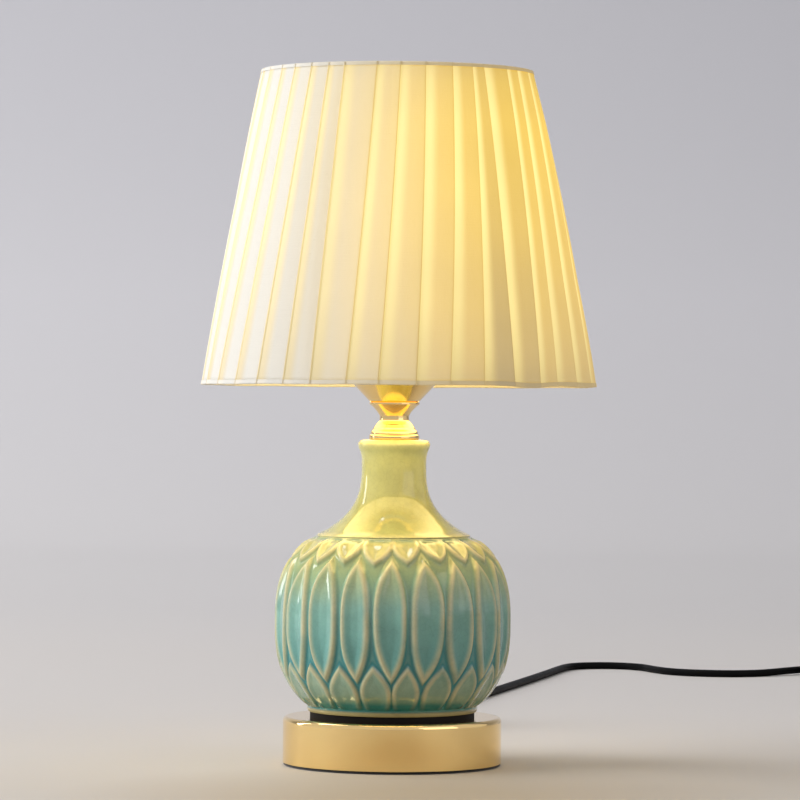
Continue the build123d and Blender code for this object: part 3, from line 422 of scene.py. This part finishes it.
def vase_relief(angle, h, radius):
    """Height of the relief and its masks: crest for the thin glaze on edges, pool for the thick glaze in grooves."""
    # Carved by hand: the petals' tips, sides and widths differ a little
    wobble = np.sin(3 * angle + 1.3) + 0.7 * np.sin(7 * angle + 0.4)
    sway = 0.4 * np.sin(0.045 * h + 5 * angle + 0.7) + 0.2 * np.sin(0.08 * h - 8 * angle + 2.1)
    wide = 1 + 0.035 * np.sin(11 * angle + 0.9) + 0.03 * np.sin(17 * angle + 2.6)
    angle = angle + (sway + 0.35 * np.sin(13 * angle + 0.3)) / radius
    # The leaves and the drops stand between the tall petals
    from_tall, from_others = across(angle, 0, radius), across(angle, math.pi / PETALS, radius)
    t = np.clip(np.abs(h - TALL_MIDDLE - 0.3 * wobble) / TALL_REACH, 0, 1.3)
    tall = petal(t, TALL_POWER, TALL_SIDE, TALL_REACH, wide, from_tall)
    up = np.clip((h - LEAF_WIDE) / (LEAF_TIP + 0.2 * wobble - LEAF_WIDE), 0, 1.4)
    down = np.clip((LEAF_WIDE - h) / (LEAF_WIDE - LEAF_ROOT), 0, 1.6)
    leaf = petal(up, LEAF_POWER, LEAF_SIDE, LEAF_TIP - LEAF_WIDE, wide, from_others, 0.2 * down**2)
    u = np.clip((DROP_ROOT - h) / (DROP_REACH + 0.6 * wobble), 0, 1.4)
    drop = petal(u, DROP_POWER, DROP_SIDE, DROP_REACH, wide, from_others)
    relief = np.maximum(np.maximum(rim(tall, *TALL_RIM), rim(leaf, *LEAF_RIM)), rim(drop, *DROP_RIM))
    inside = np.maximum(np.maximum(tall, leaf), drop)
    # Thin glaze along the rims, over the drops and leaves, and at the top of the tall petals
    crest = smooth(-1.0, 0.6, inside) * (1 - smooth(1.0, 4.2, inside))
    crest = np.maximum(0.8 * crest, 0.25 * smooth(-0.4, 1.2, drop))
    crest = np.maximum(crest, 0.26 * smooth(0.2, 2.6, leaf)) * (0.35 + 0.65 * smooth(6.0, 13.0, h))
    crest = np.maximum(crest, 0.26 * smooth(1.0, 4.5, tall) * smooth(52, 84, h))
    # Thick glaze at the foot of the rims, more of it low on the vase, and low in the hollows
    foot_of_rim = smooth(-3.4, -1.0, inside) * (1 - smooth(-0.9, 0.2, inside))
    low = smooth(62, 22, h)
    pool = foot_of_rim * (0.14 + 0.76 * low) + 0.45 * low * (1 - smooth(-2.0, 0.0, inside))
    pool = np.maximum(np.clip(pool, 0, 1), 0.35 * smooth(2.2, 5.0, tall) * low)
    fade = smooth(FOOT_H - 0.6, LEAF_ROOT + 0.6, h) * (1 - smooth(SHOULDER_H - 2.2, SHOULDER_H + 0.4, h))
    return relief * fade, crest * fade, pool * fade


def build_vase():
    """The vase with its relief, a rounded rim and a flat foot."""
    # Rows lie closest together round the shoulder's lip
    heights = np.concatenate([
        np.array([0.0, 0.25, 0.6]), np.linspace(1.0, 95.6, 160), np.linspace(96.0, 102.0, 25),
        np.linspace(102.8, RIM_H, 48),
    ])
    angles = circle(COLUMNS)
    a, h = np.meshgrid(angles, heights)
    radius = vase_radius(h)
    relief, crest, pool = vase_relief(a, h, radius)
    lip = 0.9 * hump(h, SHOULDER_H + 1.2, 1.6) - 1.5 * hump(h, SHOULDER_H - 1.3, 1.1) + 0.9 * hump(h, RIM_H, 2.3)
    crest = np.maximum(crest, 0.5 * hump(h, SHOULDER_H + 0.9, 1.2))
    pool = np.maximum(pool, 0.55 * hump(h, SHOULDER_H - 1.2, 1.0))
    foot = -0.35 * smooth(0.7, 0.0, h)
    rows = around(radius + relief + lip + foot, a, h + VASE_Z)
    masks = np.stack([crest, pool, h / VASE_H], axis=-1)

    def plain(outline):
        """Rows without relief, and their masks."""
        turned = [around(r, angles, z + VASE_Z) for r, z in outline]
        bare = [np.tile([0.0, 0.0, z / VASE_H], (COLUMNS, 1)) for _, z in outline]
        return np.array(turned), np.array(bare)

    bead, bead_masks = plain(BEAD_OUTLINE)
    under, under_masks = plain(UNDER_OUTLINE)
    rows = np.concatenate([under, rows, bead])
    masks = np.concatenate([under_masks, masks, bead_masks])
    return grid("vase", rows, loop=True, masks=masks, mask_name="glaze", sharp=60.0)


def glaze_material():
    """A runny glaze, thin on edges and thick in grooves, with a fine crackle, and painted lamplight that yellows its
    upper part and brightens the petals' tips.
    """
    material, tree, shader = new_material("crackle_glaze")
    place = add(tree, "TexCoord").outputs["Object"]
    parts = add(tree, "SeparateColor", {"Color": add(tree, "VertexColor", layer_name="glaze").outputs["Color"]})
    crest, pool, height = parts.outputs["Red"], parts.outputs["Green"], parts.outputs["Blue"]
    cloud = add(tree, "TexNoise", {"Vector": place, "Scale": 60.0, "Detail": 5.0, "Roughness": 0.65}).outputs["Fac"]
    # Teal low and yellow-green high: partly the glaze's colour, partly painted lamplight on the upper vase
    body = ramp(tree, height, [
        (0.013, srgb(158, 146, 98)), (0.018, srgb(0, 118, 120)), (0.042, srgb(8, 124, 122)),
        (0.058, srgb(94, 144, 124)), (0.2, srgb(108, 162, 150)), (0.4, srgb(120, 168, 154)),
        (0.5, srgb(142, 168, 126)), (0.58, srgb(164, 170, 108)), (0.76, srgb(166, 166, 106)),
        (0.97, srgb(188, 190, 124)), (1.0, srgb(212, 208, 144)),
    ])
    streak = ramp(tree, cloud, [(0.3, grey(0.82)), (0.7, grey(1.13))])
    body = mix(tree, 0.8, body, streak, "MULTIPLY")
    body = mix(tree, pool, body, srgb(46, 128, 130))
    uneven = math_node(tree, "MULTIPLY", crest, ramp(tree, cloud, [(0.32, grey(0.5)), (0.6, grey(1.0))]))
    # Thin glaze, paler towards the top as painted lamplight on the petals' tips
    thin = ramp(tree, height, [(0.48, srgb(206, 192, 146)), (0.6, srgb(232, 216, 158))])
    body = mix(tree, uneven, body, thin)
    cells = add(tree, "TexVoronoi", {"Vector": place, "Scale": 330.0}, feature="DISTANCE_TO_EDGE").outputs["Distance"]
    lines = ramp(tree, cells, [(0.0, grey(0.8)), (0.045, grey(1.0))])
    body = mix(tree, 0.55, body, lines, "MULTIPLY")
    rough = ramp(tree, height, [(0.004, grey(0.6)), (0.016, grey(0.1))])
    ripple = add(tree, "TexNoise", {"Vector": place, "Scale": 90.0, "Detail": 2.0}).outputs["Fac"]
    lift = add(tree, "Bump", {"Height": ripple, "Strength": 0.12, "Distance": 0.002})
    fill(tree, shader, {
        "Base Color": body, "Roughness": rough, "Normal": lift.outputs["Normal"], "Coat Weight": 0.5,
        "Coat Roughness": 0.05,
    })
    return material


vase = build_vase()
dress(vase, glaze_material(), "lamp", "ceramic_body")

# Gold base and neck: sizes in millimetres

VASE_TOP = VASE_Z + VASE_H
BELL_OUTLINE = [
    (5.4, 0.05), (13.6, 0.05), (14.0, 0.3), (14.15, 0.8), (14.15, 1.8), (14.0, 2.3), (13.6, 2.6), (13.35, 2.9),
    (13.4, 3.4), (13.3, 4.0), (13.0, 4.6), (12.6, 5.1), (12.2, 5.5), (11.95, 5.8), (11.85, 6.2), (11.6, 6.7),
    (11.25, 7.2), (10.95, 7.6), (10.75, 7.9), (10.5, 8.3), (10.05, 8.8), (9.55, 9.4), (9.05, 9.9), (8.6, 10.3),
    (8.35, 10.6), (8.3, 11.0), (8.3, 12.4), (5.4, 12.4),
]
gold = surface("polished_gold", srgb(246, 214, 148), 0.11, metal=1.0, grain=900, vary=0.02, rough_vary=0.02)
bell = lathe("neck_turning", [(r, z + VASE_TOP) for r, z in BELL_OUTLINE])
dress(bell, gold, "lamp", "neck_bell")
paint(gold, "neck_cup", "socket_dish")
# A brighter copy of the gold on the base: painted brightness for the window's reflection
base_gold_painted_bright = surface("base_gold_painted_bright", srgb(255, 222, 154), 0.09, metal=1.0, grain=900, vary=0.02, rough_vary=0.02)
paint(base_gold_painted_bright, "base_shell")

# Pleated shade: sizes in millimetres

SHADE_Z = 213.7
SHADE_H = 176.3
SHADE_R = 110.0
SHADE_TOP_R = 76.5
BULGE = 1.4
FRONT = -90.0
# Fold lines along the hem, in degrees from the front towards the right, then an even run round the back
SEEN_FOLDS = [-73.5, -63.5, -53.1, -43.4, -33.5, -24.6, -13.7, -4.5, 6.3, 16.1, 26.3, 36.2, 45.6, 52.7, 63.3, 75.5]
SEEN_LEAN = [7.0, 7.7, 6.2, 5.9, 4.6, 2.9, 5.9, 6.3, 5.8, 7.6, 6.6, 2.4, 6.7, 7.4, 8.0, 7.0]
HIDDEN_FOLDS = 20
# How the pleats differ: places and leans in degrees, then shares of the depth and of the painted glow through their
# layers
PLACE_SPREAD = 1.4
LEAN_MEAN, LEAN_SPREAD = 6.2, 1.6
DEPTH_SPAN = (0.85, 1.15)
LIGHT_SPAN = (0.92, 1.05)
# The two pleats of the loose fold at the right have more layers and a dimmer painted glow, painted shade
LOOSE_PLEATS, LOOSE_LIGHT = slice(10, 12), (0.66, 0.76)
# The hem hangs lower behind than in front, and most in the loose fold: millimetres, and degrees from the front
HEM_TILT = 1.15
LOOSE_DROP, LOOSE_PLACE, LOOSE_REACH = 0.8, 43, 5.5
HEM_RIPPLE, HEM_RIPPLES = 0.12, 11
# Where daylight meets the cloth, pleats are flatter, the painted glow is weaker, the fold edges get a painted
# highlight and their painted shade fades
DAY_FLAT, DAY_HIDES, DAY_EDGE, DAY_CLEARS = 0.62, 0.45, 0.85, 0.95
# Painted glow, stronger towards the right
RIGHT_GLOW = 0.2
dice = np.random.default_rng(7)
gap = (SEEN_FOLDS[0] + 360 - SEEN_FOLDS[-1]) / (HIDDEN_FOLDS + 1)
hidden = [SEEN_FOLDS[-1] + gap * (i + 1) + dice.uniform(-PLACE_SPREAD, PLACE_SPREAD) for i in range(HIDDEN_FOLDS)]
folds = np.array(SEEN_FOLDS + hidden)
leans = np.array(SEEN_LEAN + [LEAN_MEAN + dice.uniform(-LEAN_SPREAD, LEAN_SPREAD) for _ in hidden])
depths = np.array([dice.uniform(*DEPTH_SPAN) for _ in folds])
shades = np.array([dice.uniform(*LIGHT_SPAN) for _ in folds])
shades[LOOSE_PLEATS] = LOOSE_LIGHT
# One pleat from its start to its fold and down behind it: shares of the width and depth, layers, painted shade at the
# fold
PLEAT = [
    (0.00, -1.00, 0.0, 0.1), (0.05, -0.95, 0.0, 0.0), (0.12, -0.87, 0.0, 0.0), (0.20, -0.78, 0.12, 0.0),
    (0.28, -0.69, 0.4, 0.0), (0.36, -0.60, 0.75, 0.0), (0.46, -0.50, 1.0, 0.0), (0.60, -0.35, 1.0, 0.0),
    (0.74, -0.21, 1.0, 0.0), (0.86, -0.10, 1.0, 0.0), (0.93, -0.03, 1.0, 0.05), (0.965, 0.00, 1.0, 0.35),
    (0.982, -0.08, 0.9, 0.8), (0.990, -0.30, 0.7, 1.0), (0.994, -0.60, 0.3, 0.6), (0.997, -0.85, 0.1, 0.25),
]
PLEAT_DEPTH = 0.8
SHADE_ROWS, BAND_ROWS = 48, 5
CLOTH_THICK = 0.25
BAND_LIFT, BAND_INNER = 0.28, 6.0


def shade_radius(v):
    """The shade's outside at a share of its height, slightly full at the middle."""
    return SHADE_R + (SHADE_TOP_R - SHADE_R) * v + BULGE * 4 * v * (1 - v)


def from_front(degrees):
    """Degrees from the front, from -180 to 180."""
    return (degrees + 180) % 360 - 180


def slack(degrees, v):
    """How far the loose cloth stands out on the right and lies in on the left, in degrees from the front."""
    side = np.sin(np.radians(degrees))
    out = np.interp(v, [0, 0.08, 0.2, 0.33, 0.58, 0.83, 1], [3.5, 3.4, 3.0, 2.3, 1.9, 1.3, 0.2])
    inward = np.interp(v, [0, 0.1, 0.3, 0.6, 1], [1.1, 1.1, 1.2, 1.3, 0.4])
    return out * np.clip(side, 0, 1) ** 1.5 - inward * np.clip(-side, 0, 1)


def leftness(degrees):
    """1 on the side that daylight meets, 0 from the front round to the right."""
    places, shares = [-180, -130, -85, -50, -30, -12, 5, 180], [0, 0.5, 1, 0.95, 0.74, 0.3, 0, 0]
    return np.interp(from_front(degrees), places, shares)


def hem_drop(degrees):
    """How far the hem hangs below its ring: less in front, more behind, with one loose fold."""
    loose = LOOSE_DROP * hump(from_front(degrees), LOOSE_PLACE, LOOSE_REACH)
    ripple = HEM_RIPPLE * np.sin(np.radians(HEM_RIPPLES * degrees))
    return -HEM_TILT * np.cos(np.radians(degrees)) + loose + ripple


def cloth_path(v):
    """Angle, radial offset and masks round the cloth at a share of the height."""
    lines = folds + leans * v
    # The differences in the painted glow gather towards the hem
    gathered = np.interp(v, [0.2, 0.75], [1.0, 0.2])
    angle, offset, layer, edge, light = [], [], [], [], []
    count = len(folds)
    for i in range(count):
        start, end = lines[i], lines[(i + 1) % count] + (360 if i == count - 1 else 0)
        for share, depth, layers, dark in PLEAT:
            angle.append(start + (end - start) * share)
            offset.append(depth * PLEAT_DEPTH * depths[i] * (1 - DAY_FLAT * leftness(start)))
            layer.append(layers)
            edge.append(dark)
            light.append(1 + (shades[i] - 1) * layers * gathered)
    angle, layer, edge = np.array(angle), np.array(layer), np.array(edge)
    day = leftness(angle)
    right = np.clip(np.sin(np.radians(angle)), 0, 1)
    # Painted glow, weaker in daylight and stronger to the right, with a painted highlight on fold edges in daylight
    light = np.array(light) * (1 - day * DAY_HIDES * (1 + layer)) * (1 + RIGHT_GLOW * right) + DAY_EDGE * day * edge
    return angle, np.array(offset), layer * (1 - day * edge), edge * (1 - DAY_CLEARS * day), light


def cloth_row(v, angle, offset):
    """Points round the shade at a share of its height, set off from its smooth outside."""
    radius = shade_radius(v) + offset + slack(angle, v)
    z = SHADE_Z + SHADE_H * v - hem_drop(angle) * (1 - v) ** 3
    return around(radius, np.radians(FRONT + angle), z)


def build_cloth():
    """The pleated cloth in one sheet, with masks for its layers, height, painted shade at the fold edges and painted
    glow.
    """
    rows, masks = [], []
    for v in np.linspace(0, 1, SHADE_ROWS):
        angle, offset, layer, edge, light = cloth_path(v)
        sag = 0.25 * np.sin(np.radians(9 * angle + 60)) * 4 * v * (1 - v)
        rows.append(cloth_row(v, angle, offset + sag))
        masks.append(np.stack([layer, np.full_like(layer, v), edge, light], axis=-1))
    return grid("shade_cloth", rows, masks=masks, mask_name="pleat", sharp=80.0)


def cloth_material(name, power):
    """Thin pale cloth with a painted glow, brighter where it is one layer and dimmer where it is folded."""
    material, tree, shader = new_material(name)
    coords = add(tree, "TexCoord").outputs["Object"]
    mask = add(tree, "VertexColor", layer_name="pleat")
    parts = add(tree, "SeparateColor", {"Color": mask.outputs["Color"]})
    layer, height, edge = parts.outputs["Red"], parts.outputs["Green"], parts.outputs["Blue"]

    def thread(scale, detail):
        """Noise drawn out along one direction of the weave."""
        drawn = add(tree, "Mapping", {"Vector": coords, "Scale": scale}).outputs["Vector"]
        return add(tree, "TexNoise", {"Vector": drawn, "Scale": 1.0, "Detail": detail}).outputs["Fac"]

    threads = math_node(tree, "ADD", thread((900.0, 900.0, 160.0), 3.0), thread((90.0, 90.0, 1500.0), 2.0))
    pale = ramp(tree, threads, [(0.35, srgb(200, 198, 192)), (0.75, srgb(213, 211, 205))])
    # Darker and warmer where the cloth is one layer: partly the thin cloth, partly painted lamplight through it
    pale = mix(tree, layer, mix(tree, 1.0, pale, srgb(222, 212, 198), "MULTIPLY"), pale)
    # Painted shade along the fold edges
    pale = mix(tree, edge, pale, srgb(196, 182, 150))
    # Painted lamplight: the cloth's colour is warmed towards the right and the top, where daylight is weak
    right = add(tree, "SeparateXYZ", {"Vector": coords}).outputs["X"]
    right = add(tree, "MapRange", {"Value": right, "From Min": -0.06, "From Max": 0.06}).outputs["Result"]
    painted_warm_low = ramp(tree, right, [(0.0, grey(1.0)), (0.5, (0.97, 0.92, 0.8, 1.0)), (1.0, (0.86, 0.78, 0.66, 1.0))])
    painted_warm_high = ramp(tree, right, [(0.0, grey(1.0)), (0.5, (0.94, 0.88, 0.7, 1.0)), (1.0, (0.8, 0.68, 0.42, 1.0))])
    up = add(tree, "MapRange", {"Value": height, "From Min": 0.1, "From Max": 0.75}).outputs["Result"]
    pale = mix(tree, 1.0, pale, mix(tree, up, painted_warm_low, painted_warm_high), "MULTIPLY")
    # The painted glow: strongest above the middle, dimmer through folds and patches
    rise = ramp(tree, height, [
        (0.0, grey(0.5)), (0.07, grey(0.62)), (0.25, grey(0.8)), (0.42, grey(0.92)), (0.62, grey(1.0)),
        (0.82, grey(1.0)), (0.94, grey(0.88)), (1.0, grey(0.7)),
    ])
    colour = mix(tree, layer, (1.18, 0.94, 0.33, 1.0), (0.8, 0.5, 0.03, 1.0))
    colour = mix(tree, edge, colour, (0.6, 0.38, 0.03, 1.0))
    colour = mix(tree, 1.0, colour, rise, "MULTIPLY")
    colour = mix(tree, 1.0, colour, mask.outputs["Alpha"], "MULTIPLY")
    patch = add(tree, "TexNoise", {"Vector": coords, "Scale": 14.0, "Detail": 2.0}).outputs["Fac"]
    colour = mix(tree, 0.4, colour, ramp(tree, patch, [(0.3, grey(0.75)), (0.7, grey(1.15))]), "MULTIPLY")
    lift = add(tree, "Bump", {"Height": threads, "Strength": 0.25, "Distance": 0.0002})
    fill(tree, shader, {
        "Base Color": pale, "Emission Color": colour, "Emission Strength": power, "Roughness": 0.85,
        "Specular IOR Level": 0.1, "Sheen Weight": 0.05, "Normal": lift.outputs["Normal"],
    })
    return material


cloth = build_cloth()
solid = cloth.modifiers.new("thickness", "SOLIDIFY")
solid.thickness = CLOTH_THICK * MM
solid.offset = -1.0
dress(cloth, cloth_material("pleated_cloth", 0.8), "shade", "shade_pleats")


def band(name, v_low, v_high, lift, inner):
    """A folded cloth band round one end of the shade: up its outside, round the end and along its inside."""
    start, end, sign = (v_high, v_low, -1) if v_low == 0 else (v_low, v_high, 1)
    outside = np.linspace(start, end, BAND_ROWS)
    # Share of the height, offset from the shade's outside, and whether the row is plain or follows the pleats
    profile = [(v, lift, False) for v in outside]
    profile += [(end + sign * 0.0022, lift - 0.1, False), (end + sign * 0.0036, -1.2, False)]
    profile += [(end + sign * 0.0036, -inner + 0.6, True), (end + sign * 0.0015, -inner, True)]
    profile += [(v, -inner, True) for v in reversed(outside)]
    rows, masks = [], []
    for v, offset, plain in profile:
        angle, fold, layer, edge, light = cloth_path(min(max(v, 0), 1))
        rows.append(cloth_row(v, angle, offset if plain else fold + offset))
        # Masks: folded cloth, no height, a little painted shade at the folds, and the painted glow
        masks.append(np.stack([np.ones_like(layer), np.zeros_like(layer), 0.35 * edge, light], axis=-1))
    return grid(name, rows, masks=masks, mask_name="pleat", sharp=80.0)


hem = band("hem_band", 0.0, 0.011, BAND_LIFT, BAND_INNER)
top = band("top_band", 0.991, 1.0, BAND_LIFT, BAND_INNER)
trim_paint = cloth_material("trim_cloth", 0.5)
for piece, node_name in ((hem, "hem_trim"), (top, "top_trim")):
    dress(piece, trim_paint, "shade", node_name)

# Lining with a painted glow, and the lit bulb: sizes in millimetres, shares of the shade's height

LINING_STEPS, LINING_ROWS = 144, 24
LINING_SHARES = (0.02, 0.98)
LINING_OUTER, LINING_INNER = 2.35, 2.75


def lining_material():
    """A film with a painted glow of the lamp's light, dimmer towards the top, where its colour is also darker and
    warmer: painted shade.
    """
    material, tree, shader = new_material("lining_film")
    place = add(tree, "TexCoord").outputs["Object"]
    haze = add(tree, "TexNoise", {"Vector": place, "Scale": 25.0, "Detail": 3.0}).outputs["Fac"]
    up = add(tree, "SeparateXYZ", {"Vector": place}).outputs["Z"]
    up = add(tree, "MapRange", {"Value": up, "From Min": 0.26, "From Max": 0.34}).outputs["Result"]
    film = ramp(tree, haze, [(0.3, srgb(236, 226, 196)), (0.7, srgb(248, 240, 216))])
    film = mix(tree, up, film, srgb(206, 180, 130))
    glow = ramp(tree, haze, [(0.3, srgb(255, 226, 152)), (0.7, srgb(255, 234, 168))])
    glow = mix(tree, 1.0, glow, ramp(tree, up, [(0.0, grey(1.0)), (1.0, grey(0.24))]), "MULTIPLY")
    fill(tree, shader, {"Base Color": film, "Emission Color": glow, "Emission Strength": 2.6, "Roughness": 0.6})
    return material


def build_lining():
    """A thin film behind the cloth, from above the bottom ring to below the top one."""
    angle = np.linspace(0, 360, LINING_STEPS, endpoint=False)
    up = np.linspace(*LINING_SHARES, LINING_ROWS)
    down = np.linspace(*reversed(LINING_SHARES), LINING_ROWS)
    rows = []
    for inset, shares in ((LINING_OUTER, up), (LINING_INNER, down)):
        for v in shares:
            radius = SHADE_R + (SHADE_TOP_R - SHADE_R) * v - inset + np.minimum(slack(angle, v), 0)
            rows.append(around(radius, np.radians(FRONT + angle), SHADE_Z + SHADE_H * v))
    return grid("shade_lining", rows, loop=True)


def globe_material():
    """Opal glass with a soft glow."""
    material, tree, shader = new_material("opal_glass")
    place = add(tree, "TexCoord").outputs["Object"]
    haze = add(tree, "TexNoise", {"Vector": place, "Scale": 30.0, "Detail": 2.0}).outputs["Fac"]
    milk = ramp(tree, haze, [(0.3, srgb(226, 219, 200)), (0.7, srgb(234, 228, 212))])
    fill(tree, shader, {
        "Base Color": milk, "Emission Color": srgb(255, 220, 146), "Emission Strength": 0.9, "Roughness": 0.25,
    })
    return material


inner = build_lining()
dress(inner, lining_material(), "shade", "shade_liner")
paint(globe_material(), "bulb_globe")

# Finishes of the other CAD nodes

white_plastic = surface("white_plastic", srgb(226, 224, 216), 0.35, grain=700, vary=0.03, bump=0.00003)
black_plastic = surface("black_plastic", srgb(24, 24, 25), 0.4, grain=1300, vary=0.2, bump=0.00004)
steel = surface("zinc_steel", srgb(176, 178, 180), 0.34, metal=1.0, grain=900, vary=0.08)
paint(surface("base_iron", srgb(58, 58, 60), 0.62, metal=0.6, grain=500, vary=0.2, bump=0.0002), "base_weight")
paint(
    steel, "base_plate", "base_washer", "base_nut", "threaded_rod", "terminal_screws", "rocker_pin", "switch_screws",
)
paint(white_plastic, "lampholder_cap", "lampholder_shell", "lampholder_insert", "lock_ring")
paint(surface("bulb_housing", srgb(240, 240, 236), 0.5, grain=500, vary=0.03), "bulb_housing")
bare_brass = surface("bare_brass", srgb(214, 176, 98), 0.3, metal=1.0, grain=800, vary=0.06)
paint(bare_brass, "screw_shell", "centre_contact", "switch_contacts", "bulb_tip")
paint(surface("cap_metal", srgb(196, 196, 198), 0.28, metal=1.0, grain=800, vary=0.05), "bulb_cap")
paint(surface("black_glass", srgb(14, 14, 15), 0.15, grain=600, vary=0.2), "bulb_insulator")
paint(surface("circuit_board", srgb(222, 224, 216), 0.5, grain=900, vary=0.06), "driver_board", "light_board")
coated_wire = surface("coated_wire", srgb(232, 231, 226), 0.4, grain=900, vary=0.04, bump=0.00003)
paint(coated_wire, "shade_frame", "shade_top_ring")
paint(surface("gasket_rubber", srgb(15, 11, 8), 0.65, grain=1200, vary=0.2, bump=0.00005, shine=0.15), "body_gasket")
paint(rubber, "inner_lead", "plug_body")
paint(black_plastic, "switch_base", "switch_cover", "switch_rocker", "cord_clamp")
paint(surface("live_core", srgb(116, 66, 34), 0.5, grain=1200, vary=0.1), "live_core")
paint(surface("neutral_core", srgb(48, 86, 170), 0.5, grain=1200, vary=0.1), "neutral_core")
paint(surface("nickel_pins", srgb(206, 204, 198), 0.22, metal=1.0, grain=700, vary=0.05), "plug_pins")

# Studio: sizes in metres

BACKDROP = srgb(208, 206, 209)
DAYLIGHT = (0.97, 0.985, 1.0)
FLOOR_FRONT, FLOOR_BACK, FLOOR_HALF = -4.0, 1.5, 5.0
FLOOR_BEND, BEND_STEPS, WALL_TOP = 1.7, 40, 5.0
# Middle of the painted warm shadow on the floor before the lamp
PAINTED_SHADOW_MIDDLE = (0.02, -0.2, 0.0)
WINDOW = {"place": (-2.8, -0.55, 1.45), "aim": (0, 0, 0.75), "size": (2.4, 2.7), "colour": DAYLIGHT}


def sweep_floor():
    """A floor that curves up into a wall behind."""
    arc = []
    for t in np.linspace(0, math.pi / 2, BEND_STEPS):
        arc.append((FLOOR_BACK + FLOOR_BEND * math.sin(t), FLOOR_BEND - FLOOR_BEND * math.cos(t)))
    line = [(FLOOR_FRONT, 0.0), (-1.0, 0.0)] + arc + [(FLOOR_BACK + FLOOR_BEND, WALL_TOP)]
    points, faces = [], []
    for i, (y, z) in enumerate(line):
        points += [(-FLOOR_HALF, y, z), (FLOOR_HALF, y, z)]
        if i:
            faces.append((2 * i - 2, 2 * i - 1, 2 * i + 1, 2 * i))
    mesh = bpy.data.meshes.new("studio_floor")
    mesh.from_pydata(points, [], faces)
    mesh.polygons.foreach_set("use_smooth", [True] * len(faces))
    made = bpy.data.objects.new("studio_floor", mesh)
    SCENE.collection.objects.link(made)
    return made


def paper_material():
    """Pale paper with a painted warm shadow in front of the lamp, that fades into the backdrop far out and is open
    from behind.
    """
    material, tree, shader = new_material("studio_paper")
    where = add(tree, "NewGeometry")
    place = add(tree, "SeparateXYZ", {"Vector": where.outputs["Position"]})
    depth = add(tree, "MapRange", {"Value": place.outputs["Y"], "From Min": 0.9, "From Max": 3.0}).outputs["Result"]
    paper = ramp(tree, depth, [
        (0.0, srgb(214, 209, 205)), (0.4, srgb(214, 211, 210)), (0.75, BACKDROP), (1.0, srgb(190, 189, 194)),
    ])
    reach = add(tree, "VectorMath", {0: where.outputs["Position"], 1: PAINTED_SHADOW_MIDDLE}, operation="DISTANCE")
    # Painted shadow, darker and warmer nearer the lamp's front
    painted_shadow = ramp(tree, reach.outputs["Value"], [
        (0.0, (0.64, 0.56, 0.43, 1.0)), (0.055, (0.69, 0.61, 0.48, 1.0)), (0.2, (0.92, 0.9, 0.85, 1.0)),
        (0.35, (0.97, 0.97, 0.96, 1.0)), (0.6, grey(1.0)),
    ])
    fill(tree, shader, {"Base Color": mix(tree, 1.0, paper, painted_shadow, "MULTIPLY"), "Roughness": 0.7})
    aside = math_node(tree, "ABSOLUTE", place.outputs["X"])
    far = math_node(tree, "MAXIMUM", aside, math_node(tree, "MULTIPLY", place.outputs["Y"], -1.0))
    fade = add(tree, "MapRange", {"Value": far, "From Min": 1.2, "From Max": 2.3}, interpolation_type="SMOOTHSTEP")
    fade = math_node(tree, "MULTIPLY", fade.outputs["Result"], add(tree, "LightPath").outputs["Is Camera Ray"])
    haze = add(tree, "Emission", {"Color": BACKDROP, "Strength": 1.0}).outputs["Emission"]
    faded = add(tree, "MixShader", {0: fade, 1: shader.outputs["BSDF"], 2: haze}).outputs["Shader"]
    clear = add(tree, "BsdfTransparent").outputs["BSDF"]
    open_back = add(tree, "MixShader", {0: where.outputs["Backfacing"], 1: faded, 2: clear}).outputs["Shader"]
    fill(tree, tree.nodes["Material Output"], {"Surface": open_back})
    return material


def area_light(name, place, aim, size, power, colour=(1.0, 1.0, 1.0), glossy=True):
    """A light that is never seen itself, and where asked not in reflections."""
    data = bpy.data.lights.new(name, "AREA")
    data.shape = "RECTANGLE"
    data.size, data.size_y = size
    data.energy = power
    data.color = colour
    light = bpy.data.objects.new(name, data)
    light.location = place
    light.visible_glossy = glossy
    light.visible_camera = False
    light.rotation_euler = (Vector(aim) - Vector(place)).to_track_quat("-Z", "Y").to_euler()
    SCENE.collection.objects.link(light)


def build_sky():
    """A soft light all round that the camera and reflections see as the backdrop."""
    world = bpy.data.worlds.new("studio")
    world.use_nodes = True
    tree = world.node_tree
    lit = tree.nodes["Background"]
    fill(tree, lit, {"Color": srgb(228, 228, 232), "Strength": 0.33})
    seen = add(tree, "Background", {"Color": BACKDROP, "Strength": 1.0})
    ray = add(tree, "LightPath").outputs
    shown = math_node(tree, "MAXIMUM", ray["Is Camera Ray"], ray["Is Glossy Ray"])
    shown = math_node(tree, "MAXIMUM", shown, ray["Is Transmission Ray"])
    either = add(tree, "MixShader", {0: shown, 1: lit.outputs["Background"], 2: seen.outputs["Background"]})
    fill(tree, tree.nodes["World Output"], {"Surface": either.outputs["Shader"]})
    return world


floor = sweep_floor()
floor.data.materials.append(paper_material())
area_light("window", power=66.0, glossy=False, **WINDOW)
area_light("window_glint", power=56.0, **WINDOW)
area_light("strip", (-2.6, 1.05, 1.0), (0, 0, 0.2), (0.3, 1.6), 8.0, DAYLIGHT)
area_light("fill", (2.4, -1.8, 1.3), (0, 0, 0.2), (2.4, 2.4), 15.0)
area_light("backdrop", (-1.5, 0.8, 3.0), (-0.8, 2.5, 0.2), (2.4, 1.0), 40.0)
SCENE.world = build_sky()
SCENE.view_settings.view_transform = "Standard"
